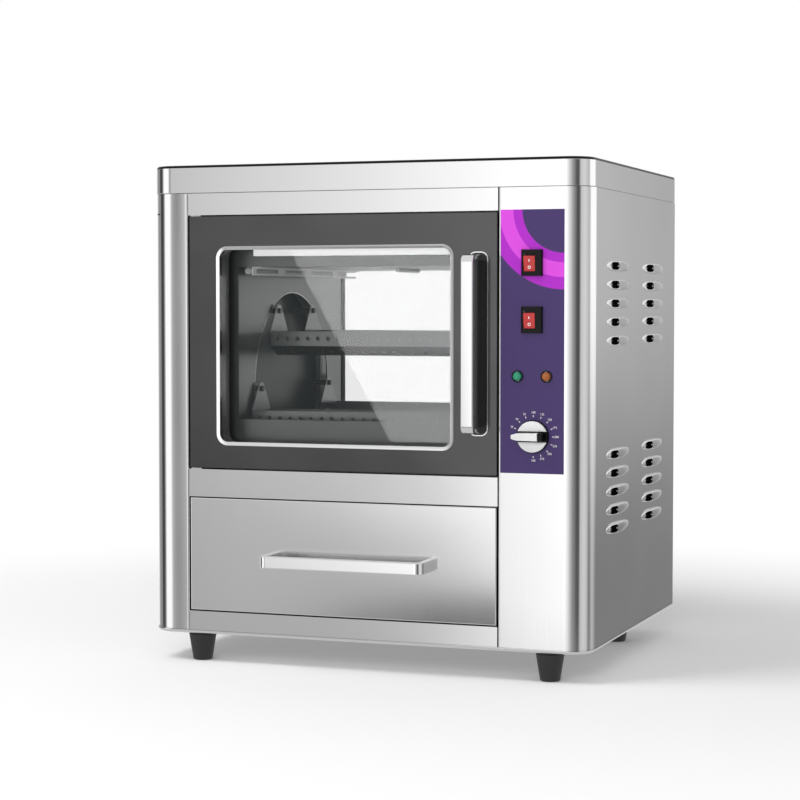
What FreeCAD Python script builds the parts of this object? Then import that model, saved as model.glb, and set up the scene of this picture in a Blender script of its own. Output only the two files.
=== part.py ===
"""Countertop baked potato oven: a stainless cabinet with a rotating six-tray carousel
behind a glazed door, a warming drawer below it and a control column on the right.

Sizes are in millimetres. Every sub-part is built in the cabinet's own frame: x from the
left outer face to the right, y from the front plane to the back, z up from the floor.
The last placement moves the origin to the middle of the base of the whole oven.
"""
import FreeCAD, Part
import os
import re

import Sketcher

doc = FreeCAD.newDocument("rotary_potato_oven")
sheet = doc.addObject("Spreadsheet::Sheet", "Dim")
named = []
derived = {}
places = {}
nodes = []


def sizes(values):
    """Write a table of driving dimensions to the next rows of the sheet, each with its alias."""
    for alias, value in values.items():
        row = len(named) + 1
        sheet.set("A%d" % row, alias)
        sheet.set("B%d" % row, str(value))
        sheet.setAlias("B%d" % row, alias)
        named.append(alias)
    sheet.recompute()


def derive(**formulas):
    """Name places and sizes that are worked out from driving dimensions."""
    derived.update(formulas)


def ex(text):
    """Expand derived names and point every driving dimension at its sheet cell."""
    def expand(match):
        word = match.group(0)
        if word in derived:
            return "(" + ex(derived[word]) + ")"
        return "Dim." + word if word in named else word
    return re.sub(r"[A-Za-z_]\w*", expand, text)


def number(text):
    """The present value of an expression, for a sketch's first geometry."""
    return float(sheet.evalExpression(ex(text)))


def bind(item, prop, text):
    item.setExpression(prop, ex(text))


def place(item, at):
    """Bind an object's position to three expressions."""
    for axis, text in zip("xyz", at):
        bind(item, "Placement.Base." + axis, text)
    places[item.Name] = at
    return item


TURN = {
    "x": FreeCAD.Rotation(FreeCAD.Vector(0, 1, 0), 90),
    "y": FreeCAD.Rotation(FreeCAD.Vector(1, 0, 0), -90),
    "z": FreeCAD.Rotation(),
}


def box(name, at, size):
    item = doc.addObject("Part::Box", name)
    for prop, text in zip(("Length", "Width", "Height"), size):
        bind(item, prop, text)
    return place(item, at)


def cylinder(name, at, along, radius, length):
    """A round bar that starts at a point and runs along +x, +y or +z."""
    item = doc.addObject("Part::Cylinder", name)
    bind(item, "Radius", radius)
    bind(item, "Height", length)
    item.Placement.Rotation = TURN[along]
    return place(item, at)


def cone(name, at, along, radius_start, radius_end, length):
    item = doc.addObject("Part::Cone", name)
    bind(item, "Radius1", radius_start)
    bind(item, "Radius2", radius_end)
    bind(item, "Height", length)
    item.Placement.Rotation = TURN[along]
    return place(item, at)


def fuse(name, parts):
    item = doc.addObject("Part::MultiFuse", name)
    item.Shapes = parts
    item.Refine = True
    return place(item, ("0", "0", "0"))


def cut(name, base, tools):
    item = doc.addObject("Part::Cut", name)
    item.Base = base
    item.Tool = tools[0] if len(tools) == 1 else fuse(name + "_tools", tools)
    item.Refine = True
    return place(item, ("0", "0", "0"))


def common(name, first, second):
    item = doc.addObject("Part::Common", name)
    item.Base = first
    item.Tool = second
    return place(item, ("0", "0", "0"))


def group(name, parts):
    """Separate solids that share one node, such as identical fasteners."""
    item = doc.addObject("Part::Compound", name)
    item.Links = parts
    return place(item, ("0", "0", "0"))


def plane(body, role):
    return next(f for f in body.Origin.OriginFeatures if f.Role == role)


def polygon(body, name, role, points):
    """A closed sketch through corners given as pairs of expressions."""
    sketch = body.newObject("Sketcher::SketchObject", name)
    sketch.AttachmentSupport = (plane(body, role), "")
    sketch.MapMode = "FlatFace"
    corners = [FreeCAD.Vector(number(u), number(v), 0) for u, v in points]
    count = len(corners)
    for i in range(count):
        sketch.addGeometry(Part.LineSegment(corners[i], corners[(i + 1) % count]), False)
    for i in range(count):
        sketch.addConstraint(Sketcher.Constraint("Coincident", i, 2, (i + 1) % count, 1))
    for i, (u, v) in enumerate(points):
        for kind, text, value in (("DistanceX", u, corners[i].x), ("DistanceY", v, corners[i].y)):
            index = sketch.addConstraint(Sketcher.Constraint(kind, -1, 1, i, 1, value))
            bind(sketch, "Constraints[%d]" % index, text)
    return sketch


def pad(body, sketch, length, both=False):
    """Push a sketch out along its plane's normal, or half each way."""
    item = body.newObject("PartDesign::Pad", sketch.Name + "_pad")
    item.Profile = sketch
    item.Midplane = both
    bind(item, "Length", length)
    return item


def at_limit(edge, axis, side, bounds):
    """Whether an edge lies wholly at the low or high limit of its shape on one axis."""
    own = edge.BoundBox
    low, high = getattr(own, axis.upper() + "Min"), getattr(own, axis.upper() + "Max")
    limit = getattr(bounds, axis.upper() + ("Min" if side == "low" else "Max"))
    near = bounds.DiagonalLength * 1e-6
    return abs(low - limit) < near and abs(high - limit) < near


def fillet(body, base, radius, *edges):
    """Round the edges of the last feature; each is a dict such as {"x": "low", "y": "low"}."""
    doc.recompute([base])
    bounds = base.Shape.BoundBox
    names = []
    for wanted in edges:
        for i, edge in enumerate(base.Shape.Edges):
            if all(at_limit(edge, axis, side, bounds) for axis, side in wanted.items()):
                names.append("Edge%d" % (i + 1))
    item = body.newObject("PartDesign::Fillet", base.Name + "_round")
    item.Base = (base, names)
    bind(item, "Radius", radius)
    body.Tip = item
    return item


def block(name, at, size, *rounds):
    """A pad of a rectangle, with rounded edges given as (radius, edge, edge, ...)."""
    body = doc.addObject("PartDesign::Body", name)
    dx, dy, dz = size
    corners = [("0", "0"), (dx, "0"), (dx, dy), ("0", dy)]
    last = pad(body, polygon(body, name + "_plan", "XY_Plane", corners), dz)
    for radius, *edges in rounds:
        last = fillet(body, last, radius, *edges)
    return place(body, at)


def prism(name, role, at, points, length, both=False):
    """A pad of any polygon drawn on one of the body's own planes."""
    body = doc.addObject("PartDesign::Body", name)
    pad(body, polygon(body, name + "_profile", role, points), length, both)
    return place(body, at)


def corners_of(sides, radius):
    """The corners of a regular polygon, as pairs of expressions."""
    turns = ["(%d * 360 / %d) * 1 deg" % (i, sides) for i in range(sides)]
    return [("(%s) * cos(%s)" % (radius, turn), "(%s) * sin(%s)" % (radius, turn)) for turn in turns]


def copy(item, at):
    """The same shape once more, at another place."""
    again = doc.addObject("Part::Compound", item.Name + "_copy")
    again.Links = [item]
    return place(again, at)


def turned(name, at, along, points):
    """A full revolution of an outline of (radius, height) corners about its height axis."""
    body = doc.addObject("PartDesign::Body", name)
    sketch = polygon(body, name + "_outline", "XZ_Plane", points)
    item = body.newObject("PartDesign::Revolution", name + "_turn")
    item.Profile = sketch
    item.ReferenceAxis = (sketch, ["V_Axis"])
    item.Angle = 360
    body.Placement.Rotation = TURN[along]
    return place(body, at)


def node(item, label):
    """Name a finished sub-part and move it to the oven's shared origin."""
    item.Label = label
    at = places[item.Name]
    for axis, text, shift in zip("xyz", at, ("shift_x", "shift_y", "0")):
        bind(item, "Placement.Base." + axis, "%s + %s" % (text, shift))
    nodes.append(item)
    return item


# Cabinet: overall sizes and the heights of the front openings.
CABINET = {
    "body_width": 644, "body_depth": 506, "foot_height": 40, "base_height": 5, "bottom_rail_top": 32.3,
    "drawer_opening": 162.2, "mid_rail_height": 38.9, "door_opening": 356.3, "top_rail_height": 30.5,
    "cover_height": 39.8, "left_column": 62, "right_column": 125.2, "corner_radius": 35,
    "edge_radius": 4, "hem_radius": 3, "skin": 1.2, "seam": 0.6, "contact_gap": 0.3,
    "return_flange": 18, "overrun": 2, "cover_inset": 1, "cover_overhang": 2, "rear_plate": 1.2,
    "handle_reach": 40, "louvre_rise": 6.5, "door_depth": 40, "door_back_gap": 10, "screw_radius": 2,
    "screw_play": 0.3, "screw_inset": 20, "screw_drop": 30,
}
sizes(CABINET)
SCREW_ROWS = 3
derive(
    screw_pitch="(body_top - base_top - 2 * screw_drop) / %d" % (SCREW_ROWS - 1),
    shift_x="-(body_width + louvre_rise) / 2",
    shift_y="-(body_depth + cover_overhang - handle_reach) / 2",
    base_top="foot_height + base_height",
    drawer_sill="foot_height + bottom_rail_top",
    drawer_head="drawer_sill + drawer_opening",
    door_sill="drawer_head + mid_rail_height",
    door_head="door_sill + door_opening",
    body_top="door_head + top_rail_height",
    total_height="body_top + cover_height",
    opening_right="body_width - right_column",
    opening_width="opening_right - left_column",
    frame_front="door_depth + door_back_gap",
)

FRONT_LEFT = {"x": "low", "y": "low"}
FRONT_RIGHT = {"x": "high", "y": "low"}
BACK_LEFT = {"x": "low", "y": "high"}
BACK_RIGHT = {"x": "high", "y": "high"}

# Top cover: a deep-drawn tray turned upside down over the body.
outer = block(
    "top_cover_outer", ("cover_inset", "0", "body_top + seam"),
    ("body_width - 2 * cover_inset", "body_depth + cover_overhang", "cover_height - seam"),
    ("corner_radius", FRONT_LEFT, FRONT_RIGHT), ("edge_radius", BACK_LEFT, BACK_RIGHT),
    ("edge_radius", {"z": "high"}),
)
inner = block(
    "top_cover_inner", ("cover_inset + skin", "skin", "body_top - overrun"),
    ("body_width - 2 * cover_inset - 2 * skin", "body_depth + cover_overhang - 2 * skin",
     "cover_height + overrun - skin"),
    ("corner_radius - skin", FRONT_LEFT, FRONT_RIGHT), ("edge_radius - skin", BACK_LEFT, BACK_RIGHT),
    ("edge_radius - skin", {"z": "high"}),
)
node(cut("top_cover_shell", outer, [inner]), "top_cover")

# Base pan: a shallow pressed tray that carries the feet and the side panels.
outer = block(
    "base_pan_outer", ("0", "0", "foot_height"), ("body_width", "body_depth", "base_height"),
    ("corner_radius", FRONT_LEFT, FRONT_RIGHT), ("edge_radius", BACK_LEFT, BACK_RIGHT),
    ("edge_radius", {"z": "low"}),
)
inner = block(
    "base_pan_inner", ("skin", "skin", "foot_height + skin"),
    ("body_width - 2 * skin", "body_depth - 2 * skin", "base_height"),
    ("corner_radius - skin", FRONT_LEFT, FRONT_RIGHT), ("edge_radius - skin", BACK_LEFT, BACK_RIGHT),
    ("edge_radius - skin", {"z": "low"}),
)
node(cut("base_pan_shell", outer, [inner]), "base_pan")


def column_shell(name, left, width, corner, hem, back_corner, open_from):
    """A rounded column that wraps from the front face round to the whole side of the cabinet."""
    height = "body_top - base_top - contact_gap"
    low = "base_top + contact_gap"
    outside = block(
        name + "_outer", (left, "0", low), (width, "body_depth", height),
        ("corner_radius", corner), ("edge_radius", back_corner), ("hem_radius", hem),
    )
    inside = block(
        name + "_inner", (left + " + skin", "skin", low + " - overrun"),
        (width + " - 2 * skin", "body_depth - 2 * skin", height + " + 2 * overrun"),
        ("corner_radius - skin", corner), ("edge_radius - skin", back_corner),
        ("hem_radius - skin", hem),
    )
    opening = box(
        name + "_opening", (open_from, "return_flange", low + " - overrun"),
        ("skin + 2 * overrun", "body_depth - 2 * return_flange", height + " + 2 * overrun"),
    )
    return cut(name + "_shell", outside, [inside, opening])


def screw_holes(name, across, front, depth):
    """A vertical row of clearance holes for the screws of the rear panel."""
    return [cylinder(name, (across, front + " - overrun", "base_top + screw_drop + %d * screw_pitch" % row),
                     "y", "screw_radius + screw_play", depth + " + 2 * overrun")
            for row in range(SCREW_ROWS)]


left_shell = column_shell("left_column", "0", "left_column", FRONT_LEFT, FRONT_RIGHT, BACK_LEFT,
                          "left_column - skin - overrun")
node(cut("left_column_drilled", left_shell,
         screw_holes("left_screw_hole", "screw_inset", "body_depth - skin", "skin")), "left_side_panel")

# Control column on the right: switch, lamp and spindle holes in front, louvres in the side.
CONTROL_COLUMN = {
    "control_x": 566, "decal_width": 87.8, "decal_height": 350.4, "decal_bottom": 280.1,
    "decal_thickness": 0.5, "switch_upper": 560, "switch_pitch": 75.6, "switch_cut_width": 27,
    "switch_cut_height": 28, "lamp_height": 409.3, "lamp_spread": 40, "lamp_hole_radius": 6.2,
    "knob_height": 329.5, "knob_side": 2, "spindle_hole_radius": 4.5, "louvre_recess": 47,
    "louvre_hood": 77, "louvre_pitch": 25.6, "louvre_front": 91.5, "louvre_step": 204,
    "louvre_top": 557.5, "louvre_low": 299.7, "louvre_tail": 4.5, "louvre_end": 9, "louvre_metal": 1,
}
sizes(CONTROL_COLUMN)
CABLE = {
    "cable_hole_radius": 8, "cable_x": 560, "cable_z": 100, "cable_bore_radius": 4.5,
    "cable_flange_radius": 11, "cable_flange": 0.8, "cable_bush_length": 12,
}
sizes(CABLE)
LOUVRE_ROWS = 5
LOUVRE_SIDES = 8
derive(
    decal_left="control_x - decal_width / 2",
    switch_lower="switch_upper - switch_pitch",
    knob_x="control_x + knob_side",
    lamp_left="control_x - lamp_spread / 2",
    lamp_right="control_x + lamp_spread / 2",
)
shell = column_shell("right_column", "opening_right", "right_column", FRONT_RIGHT, FRONT_LEFT,
                     BACK_RIGHT, "opening_right - overrun")
cuts = []
for level in ("switch_upper", "switch_lower"):
    cuts.append(box("switch_cut", ("control_x - switch_cut_width / 2", "-overrun",
                                   level + " - switch_cut_height / 2"),
                    ("switch_cut_width", "skin + 2 * overrun", "switch_cut_height")))
for across in ("lamp_left", "lamp_right"):
    cuts.append(cylinder("lamp_cut", (across, "-overrun", "lamp_height"), "y",
                         "lamp_hole_radius", "skin + 2 * overrun"))
cuts.append(cylinder("spindle_cut", ("knob_x", "-overrun", "knob_height"), "y",
                     "spindle_hole_radius", "skin + 2 * overrun"))
cuts.append(cylinder("cable_cut", ("cable_x", "body_depth - skin - overrun", "cable_z"), "y",
                     "cable_hole_radius", "skin + 2 * overrun"))
cuts += screw_holes("right_screw_hole", "body_width - screw_inset", "body_depth - skin", "skin")
# Each louvre is cut at its mouth: the sheet before it is pressed in, the sheet behind it out. In
# section it is half a many-sided bar, and these outlines give its ramp and hood along the side.
PRESSING = [
    ("0", "-louvre_recess"), ("0", "0"), ("louvre_rise", "0"),
    ("louvre_tail", "louvre_hood - louvre_end"), ("0", "louvre_hood"), ("-skin", "louvre_hood"),
    ("-skin", "0"), ("-louvre_rise", "0"), ("-skin", "-louvre_recess"),
]
THROAT = [
    ("0", "-louvre_recess"), ("louvre_rise - louvre_metal", "-louvre_recess"),
    ("louvre_rise - louvre_metal", "0"),
    ("louvre_tail - louvre_metal", "louvre_hood - louvre_end - louvre_metal"),
    ("0", "louvre_hood - 2 * louvre_metal"),
    ("louvre_metal - louvre_rise", "louvre_hood - 2 * louvre_metal"),
    ("louvre_metal - louvre_rise", "0"),
]


def louvre_form(name, outline, radius):
    """What a many-sided bar along y and a plate with this outline have in common."""
    bar = prism(name + "_bar", "XZ_Plane", ("0", "0", "0"), corners_of(LOUVRE_SIDES, radius),
                "2 * louvre_recess + 2 * louvre_hood", True)
    plate = prism(name + "_plate", "XY_Plane", ("0", "0", "0"), outline,
                  "2 * louvre_rise + 2 * overrun", True)
    return common(name, bar, plate)


pressing = louvre_form("louvre_pressing", PRESSING, "louvre_rise")
throat = louvre_form("louvre_throat", THROAT, "louvre_rise - louvre_metal")
pressings = []
for top in ("louvre_top", "louvre_low"):
    for column in range(2):
        for row in range(LOUVRE_ROWS):
            at = ("body_width", "louvre_front + louvre_recess + %d * louvre_step" % column,
                  "%s - %d * louvre_pitch" % (top, row))
            pressings.append(copy(pressing, at))
            cuts.append(copy(throat, at))
column = cut("control_column", fuse("control_column_raw", [shell] + pressings), cuts)
node(column, "right_side_panel")

# Front rails: folded channels that close the front above, between and below the openings.
derive(
    rail_left="left_column + seam",
    rail_width="opening_width - 2 * seam",
    rail_depth="frame_front - contact_gap",
)


def rail(label, bottom, height):
    outside = block(label + "_outer", ("rail_left", "0", bottom), ("rail_width", "rail_depth", height))
    inside = box(label + "_inner", ("rail_left - overrun", "skin", bottom + " + skin"),
                 ("rail_width + 2 * overrun", "rail_depth", height + " - 2 * skin"))
    node(cut(label + "_channel", outside, [inside]), label)


rail("top_rail", "door_head", "top_rail_height")
rail("mid_rail", "drawer_head", "mid_rail_height")
rail("bottom_rail", "base_top + contact_gap", "drawer_sill - base_top - contact_gap")

# Partitions: full-height sheets that close the columns and carry wheels, rails and runners.
BEARINGS = {
    "wheel_y": 246, "wheel_z": 383, "shaft_radius": 8, "shaft_clearance": 0.05, "bush_radius": 12,
    "bush_flange_radius": 22, "bush_flange": 3, "bush_length": 24,
}
sizes(BEARINGS)
derive(
    partition_bottom="foot_height + skin",
    partition_height="total_height - skin - foot_height - skin",
    partition_front="return_flange + contact_gap",
    partition_depth="body_depth - 2 * return_flange - 2 * contact_gap",
)


def partition(label, left):
    sheet_metal = box(label + "_sheet", (left, "partition_front", "partition_bottom"),
                      ("skin", "partition_depth", "partition_height"))
    hole = cylinder(label + "_hole", (left + " - overrun", "wheel_y", "wheel_z"), "x",
                    "bush_radius + contact_gap", "skin + 2 * overrun")
    node(cut(label + "_cut", sheet_metal, [hole]), label)


partition("left_partition", "left_column - skin")
partition("right_partition", "opening_right")

# Cavity: a stainless box inside the cabinet, open to the door in front and glazed behind.
CAVITY = {
    "cavity_side": 55, "cavity_width": 370, "cavity_floor_height": 160, "cavity_ceiling_height": 558,
    "cavity_back": 440, "mouth_sill": 342, "wheel_opening_radius": 140, "lamp_strip_bottom": 573,
    "lamp_strip_height": 14, "lamp_strip_left": 140, "lamp_strip_right": 470, "lamp_strip_depth": 12,
    "lamp_strip_round": 6,
}
sizes(CAVITY)
derive(
    cavity_left="left_column + cavity_side",
    cavity_right="cavity_left + cavity_width",
    cavity_front="frame_front + skin + contact_gap",
    cavity_depth="cavity_back - cavity_front",
    cavity_height="cavity_ceiling_height - cavity_floor_height",
)
frame_plate = box("front_frame_plate", ("rail_left", "frame_front", "drawer_head"),
                  ("rail_width", "skin", "body_top - drawer_head"))
mouth = box("front_frame_mouth", ("cavity_left", "frame_front - overrun", "mouth_sill"),
            ("cavity_width", "skin + 2 * overrun", "cavity_ceiling_height - mouth_sill"))
lamp_slot = block("lamp_slot", ("lamp_strip_left", "frame_front - overrun", "lamp_strip_bottom"),
                  ("lamp_strip_right - lamp_strip_left", "skin + 2 * overrun", "lamp_strip_height"),
                  ("lamp_strip_round", {"x": "low", "z": "high"}, {"x": "high", "z": "high"}))
node(cut("front_frame", frame_plate, [mouth, lamp_slot]), "cavity_front_frame")

lamp_strip = block("lamp_strip", ("lamp_strip_left + contact_gap", "frame_front",
                                  "lamp_strip_bottom + contact_gap"),
                   ("lamp_strip_right - lamp_strip_left - 2 * contact_gap", "lamp_strip_depth",
                    "lamp_strip_height - 2 * contact_gap"),
                   ("lamp_strip_round", {"x": "low", "z": "high"}, {"x": "high", "z": "high"}))
node(lamp_strip, "interior_lamp")


def cavity_wall(label, left):
    wall = box(label + "_sheet", (left, "cavity_front", "cavity_floor_height"),
               ("skin", "cavity_depth", "cavity_height"))
    opening = cylinder(label + "_opening", (left + " - overrun", "wheel_y", "wheel_z"), "x",
                       "wheel_opening_radius", "skin + 2 * overrun")
    node(cut(label + "_cut", wall, [opening]), label)


cavity_wall("cavity_left_wall", "cavity_left - skin")
cavity_wall("cavity_right_wall", "cavity_right")
node(box("ceiling", ("left_column", "cavity_front", "cavity_ceiling_height"),
         ("opening_width", "cavity_depth", "skin")), "cavity_ceiling")
node(box("floor", ("left_column", "cavity_front", "cavity_floor_height - skin"),
         ("opening_width", "cavity_depth", "skin")), "cavity_floor")

# Rear window: a box frame behind the cavity, a fixed pane and the screwed-on rear panel.
REAR_WINDOW = {
    "rear_window_left": 93, "rear_window_right": 511, "rear_window_sill": 300, "rear_window_head": 584,
    "glass_thickness": 4, "rear_panel_margin": 12, "rear_pane_lap": 6, "screw_head_radius": 4.5,
    "screw_head": 0.8, "screw_length": 9,
}
sizes(REAR_WINDOW)
SCREW_SIDES = 8
derive(
    rear_window_width="rear_window_right - rear_window_left",
    rear_window_height="rear_window_head - rear_window_sill",
    rear_pane_front="body_depth - contact_gap - glass_thickness",
    rear_frame_front="cavity_back + contact_gap",
    rear_frame_depth="rear_pane_front - rear_frame_front",
    rear_panel_bottom="base_top + contact_gap",
    panel_back="body_depth + rear_plate",
)
rear_outer = box("rear_frame_outer", ("rear_window_left - skin", "rear_frame_front",
                                      "rear_window_sill - skin"),
                 ("rear_window_width + 2 * skin", "rear_frame_depth", "rear_window_height + 2 * skin"))
rear_hollow = box("rear_frame_hollow", ("rear_window_left", "rear_frame_front + skin", "rear_window_sill"),
                  ("rear_window_width", "rear_frame_depth", "rear_window_height"))
rear_mouth = box("rear_frame_mouth", ("cavity_left", "rear_frame_front - overrun", "rear_window_sill"),
                 ("cavity_width", "skin + 2 * overrun", "cavity_ceiling_height - rear_window_sill"))
node(cut("rear_frame_box", rear_outer, [rear_hollow, rear_mouth]), "rear_frame")
node(box("rear_pane", ("rear_window_left - skin", "rear_pane_front", "rear_window_sill - skin"),
         ("rear_window_width + 2 * skin", "glass_thickness", "rear_window_height + 2 * skin")),
     "rear_glass")
rear_sheet = box("rear_panel_sheet", ("rear_panel_margin", "body_depth", "rear_panel_bottom"),
                 ("body_width - 2 * rear_panel_margin", "rear_plate",
                  "body_top - rear_panel_bottom"))
rear_cuts = [box("rear_view", ("rear_window_left + rear_pane_lap", "body_depth - overrun",
                               "rear_window_sill + rear_pane_lap"),
                 ("rear_window_width - 2 * rear_pane_lap", "rear_plate + 2 * overrun",
                  "rear_window_height - 2 * rear_pane_lap")),
             cylinder("rear_cable_hole", ("cable_x", "body_depth - overrun", "cable_z"), "y",
                      "cable_hole_radius", "rear_plate + 2 * overrun")]
screws = []
for across in ("screw_inset", "body_width - screw_inset"):
    rear_cuts += screw_holes("rear_screw_hole", across, "body_depth", "rear_plate")
    for row in range(SCREW_ROWS):
        level = "base_top + screw_drop + %d * screw_pitch" % row
        screws.append(fuse("rear_screw", [
            prism("rear_screw_head", "XZ_Plane", (across, "panel_back + screw_head", level),
                  corners_of(SCREW_SIDES, "screw_head_radius"), "screw_head"),
            prism("rear_screw_shank", "XZ_Plane", (across, "panel_back", level),
                  corners_of(SCREW_SIDES, "screw_radius"), "screw_length")]))
node(cut("rear_panel_cut", rear_sheet, rear_cuts), "rear_panel")
node(group("rear_screw_set", screws), "rear_panel_screws")

# Feet: four tapered rubber feet under the base pan; the rear pair stands well forward.
FEET = {
    "foot_top_radius": 20, "foot_sole_radius": 13.5, "foot_rounding": 1.5, "foot_left": 71,
    "foot_right_inset": 59, "foot_front": 25, "foot_rear": 385,
}
sizes(FEET)
for label, across, back in (
        ("foot_front_left", "foot_left", "foot_front"),
        ("foot_front_right", "body_width - foot_right_inset", "foot_front"),
        ("foot_rear_left", "foot_left", "foot_rear"),
        ("foot_rear_right", "body_width - foot_right_inset", "foot_rear")):
    node(turned(label + "_cone", (across, back, "0"), "z",
                [("0", "0"), ("foot_sole_radius - foot_rounding", "0"),
                 ("foot_sole_radius", "foot_rounding"), ("foot_top_radius", "foot_height"),
                 ("0", "foot_height")]), label)

# Control panel: decal, two rocker switches, two lamps and the thermostat with its knob.
CONTROLS = {
    "bezel_width": 29.5, "bezel_height": 35, "bezel_rise": 4, "bezel_round": 2, "switch_body_depth": 20,
    "rocker_offset": 3.2, "rocker_width": 16, "rocker_recess_height": 25, "rocker_recess_depth": 14,
    "rocker_pivot_depth": 5, "rocker_half_height": 10.4, "rocker_crest": 10, "rocker_waist": 8,
    "rocker_root": 7, "rocker_root_half": 6, "rocker_tilt": 9, "lens_radius": 6, "lens_stand": 1.5,
    "lamp_body_depth": 20, "lamp_ring_radius": 8, "lamp_ring_rise": 1.5, "knob_radius": 22,
    "knob_shoulder": 20.5, "knob_skirt": 7, "knob_stand": 1, "grip_rise": 11, "grip_height": 11,
    "grip_left": 26, "grip_right": 17, "grip_round": 2, "spindle_radius": 3, "spindle_length": 18,
    "thermostat_width": 38, "thermostat_depth": 27, "thermostat_height": 34,
}
sizes(CONTROLS)
derive(
    decal_front="-decal_thickness",
    rocker_x="control_x - rocker_offset",
    knob_back="-decal_thickness - knob_stand",
    knob_face="knob_back - knob_skirt",
)
decal_sheet = box("decal_sheet", ("decal_left", "decal_front", "decal_bottom"),
                  ("decal_width", "decal_thickness", "decal_height"))
decal_cuts = [box("decal_switch", ("control_x - switch_cut_width / 2", "decal_front - overrun",
                                   level + " - switch_cut_height / 2"),
                  ("switch_cut_width", "decal_thickness + 2 * overrun", "switch_cut_height"))
              for level in ("switch_upper", "switch_lower")]
for across, height, radius in (("lamp_left", "lamp_height", "lamp_hole_radius"),
                               ("lamp_right", "lamp_height", "lamp_hole_radius"),
                               ("knob_x", "knob_height", "spindle_hole_radius")):
    decal_cuts.append(cylinder("decal_hole", (across, "decal_front - overrun", height), "y", radius,
                               "decal_thickness + 2 * overrun"))
node(cut("decal", decal_sheet, decal_cuts), "control_decal")

housings = []
for label, level in (("rocker_upper", "switch_upper"), ("rocker_lower", "switch_lower")):
    bezel = block("switch_bezel", ("control_x - bezel_width / 2", "decal_front - bezel_rise",
                                   level + " - bezel_height / 2"),
                  ("bezel_width", "bezel_rise", "bezel_height"),
                  ("bezel_round", {"x": "low", "y": "low"}, {"x": "high", "y": "low"}))
    switch_body = box("switch_body", ("control_x - switch_cut_width / 2 + contact_gap", "decal_front",
                                      level + " - switch_cut_height / 2 + contact_gap"),
                      ("switch_cut_width - 2 * contact_gap", "switch_body_depth",
                       "switch_cut_height - 2 * contact_gap"))
    recess = box("switch_recess", ("rocker_x - rocker_width / 2 - contact_gap",
                                   "decal_front - bezel_rise - overrun",
                                   level + " - rocker_recess_height / 2"),
                 ("rocker_width + 2 * contact_gap", "bezel_rise + overrun + rocker_recess_depth",
                  "rocker_recess_height"))
    housings.append(cut("switch_housing", fuse("switch_solid", [bezel, switch_body]), [recess]))
    rocker = prism(label + "_wedge", "YZ_Plane",
                   ("rocker_x - rocker_width / 2", "rocker_pivot_depth", level),
                   [("-rocker_crest", "-rocker_half_height"), ("-rocker_waist", "0"),
                    ("-rocker_crest", "rocker_half_height"), ("rocker_root", "rocker_root_half"),
                    ("rocker_root", "-rocker_root_half")], "rocker_width")
    rocker.Placement.Rotation = FreeCAD.Rotation(FreeCAD.Vector(1, 0, 0), 1)
    bind(rocker, "Placement.Rotation.Angle", "rocker_tilt")
    node(rocker, label)
node(group("switch_pair", housings), "switch_housings")

rings = []
for label, across in (("power_lamp", "lamp_left"), ("heating_lamp", "lamp_right")):
    node(turned(label + "_lens", (across, "decal_front", "lamp_height"), "y",
                [("0", "-lens_stand - lens_radius"),
                 ("lens_radius * sin(30 deg)", "-lens_stand - lens_radius * cos(30 deg)"),
                 ("lens_radius * sin(60 deg)", "-lens_stand - lens_radius * cos(60 deg)"),
                 ("lens_radius", "-lens_stand"), ("lens_radius", "lamp_body_depth"),
                 ("0", "lamp_body_depth")]), label)
    ring = cylinder("lamp_ring", (across, "decal_front - lamp_ring_rise", "lamp_height"), "y",
                    "lamp_ring_radius", "lamp_ring_rise")
    ring_hole = cylinder("lamp_ring_hole", (across, "decal_front - lamp_ring_rise - overrun",
                                            "lamp_height"), "y",
                         "lamp_hole_radius", "lamp_ring_rise + 2 * overrun")
    rings.append(cut("lamp_ring_cut", ring, [ring_hole]))
node(group("lamp_ring_pair", rings), "lamp_bezels")

knob_disc = cone("knob_disc", ("knob_x", "knob_face", "knob_height"), "y", "knob_shoulder",
                 "knob_radius", "knob_skirt")
grip = block("knob_grip", ("knob_x - grip_left", "knob_face - grip_rise", "knob_height - grip_height / 2"),
             ("grip_left + grip_right", "grip_rise + overrun", "grip_height"),
             ("grip_round", {"y": "low"}, {"x": "low", "z": "low"}, {"x": "low", "z": "high"}))
spindle = cylinder("knob_spindle", ("knob_x", "knob_back - overrun", "knob_height"), "y",
                   "spindle_radius", "spindle_length")
node(fuse("knob_solid", [knob_disc, grip, spindle]), "thermostat_knob")
thermostat = box("thermostat_case", ("knob_x - thermostat_width / 2", "skin",
                                     "knob_height - thermostat_height / 2"),
                 ("thermostat_width", "thermostat_depth", "thermostat_height"))
spindle_bore = cylinder("thermostat_bore", ("knob_x", "skin - overrun", "knob_height"), "y",
                        "spindle_radius + shaft_clearance", "spindle_length")
node(cut("thermostat_cut", thermostat, [spindle_bore]), "thermostat_body")

# Heating: quartz tubes behind slotted guards under the ceiling, a hairpin element on the floor.
HEATING = {
    "quartz_radius": 5, "quartz_offset": 10, "quartz_end": 10, "guard_offset": 20, "guard_height": 12,
    "guard_flange": 13, "guard_tail": 15, "guard_slot_length": 80, "guard_slot_height": 6,
    "guard_slot_pitch": 104, "guard_slot_first": 14, "element_radius": 4, "element_half": 56,
    "element_bend_x": 70, "bulb_radius": 3, "bulb_length": 90,
}
sizes(HEATING)
GUARD_SLOTS = 4
derive(cavity_middle="cavity_left + cavity_width / 2", ceiling_seat="cavity_ceiling_height - contact_gap")
node(group("quartz_pair", [
    cylinder("quartz_tube", (across, "cavity_front + quartz_end", "ceiling_seat - quartz_radius"), "y",
             "quartz_radius", "cavity_depth - 2 * quartz_end")
    for across in ("cavity_left + quartz_offset", "cavity_right - quartz_offset")]), "quartz_tubes")
guards = []
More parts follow.
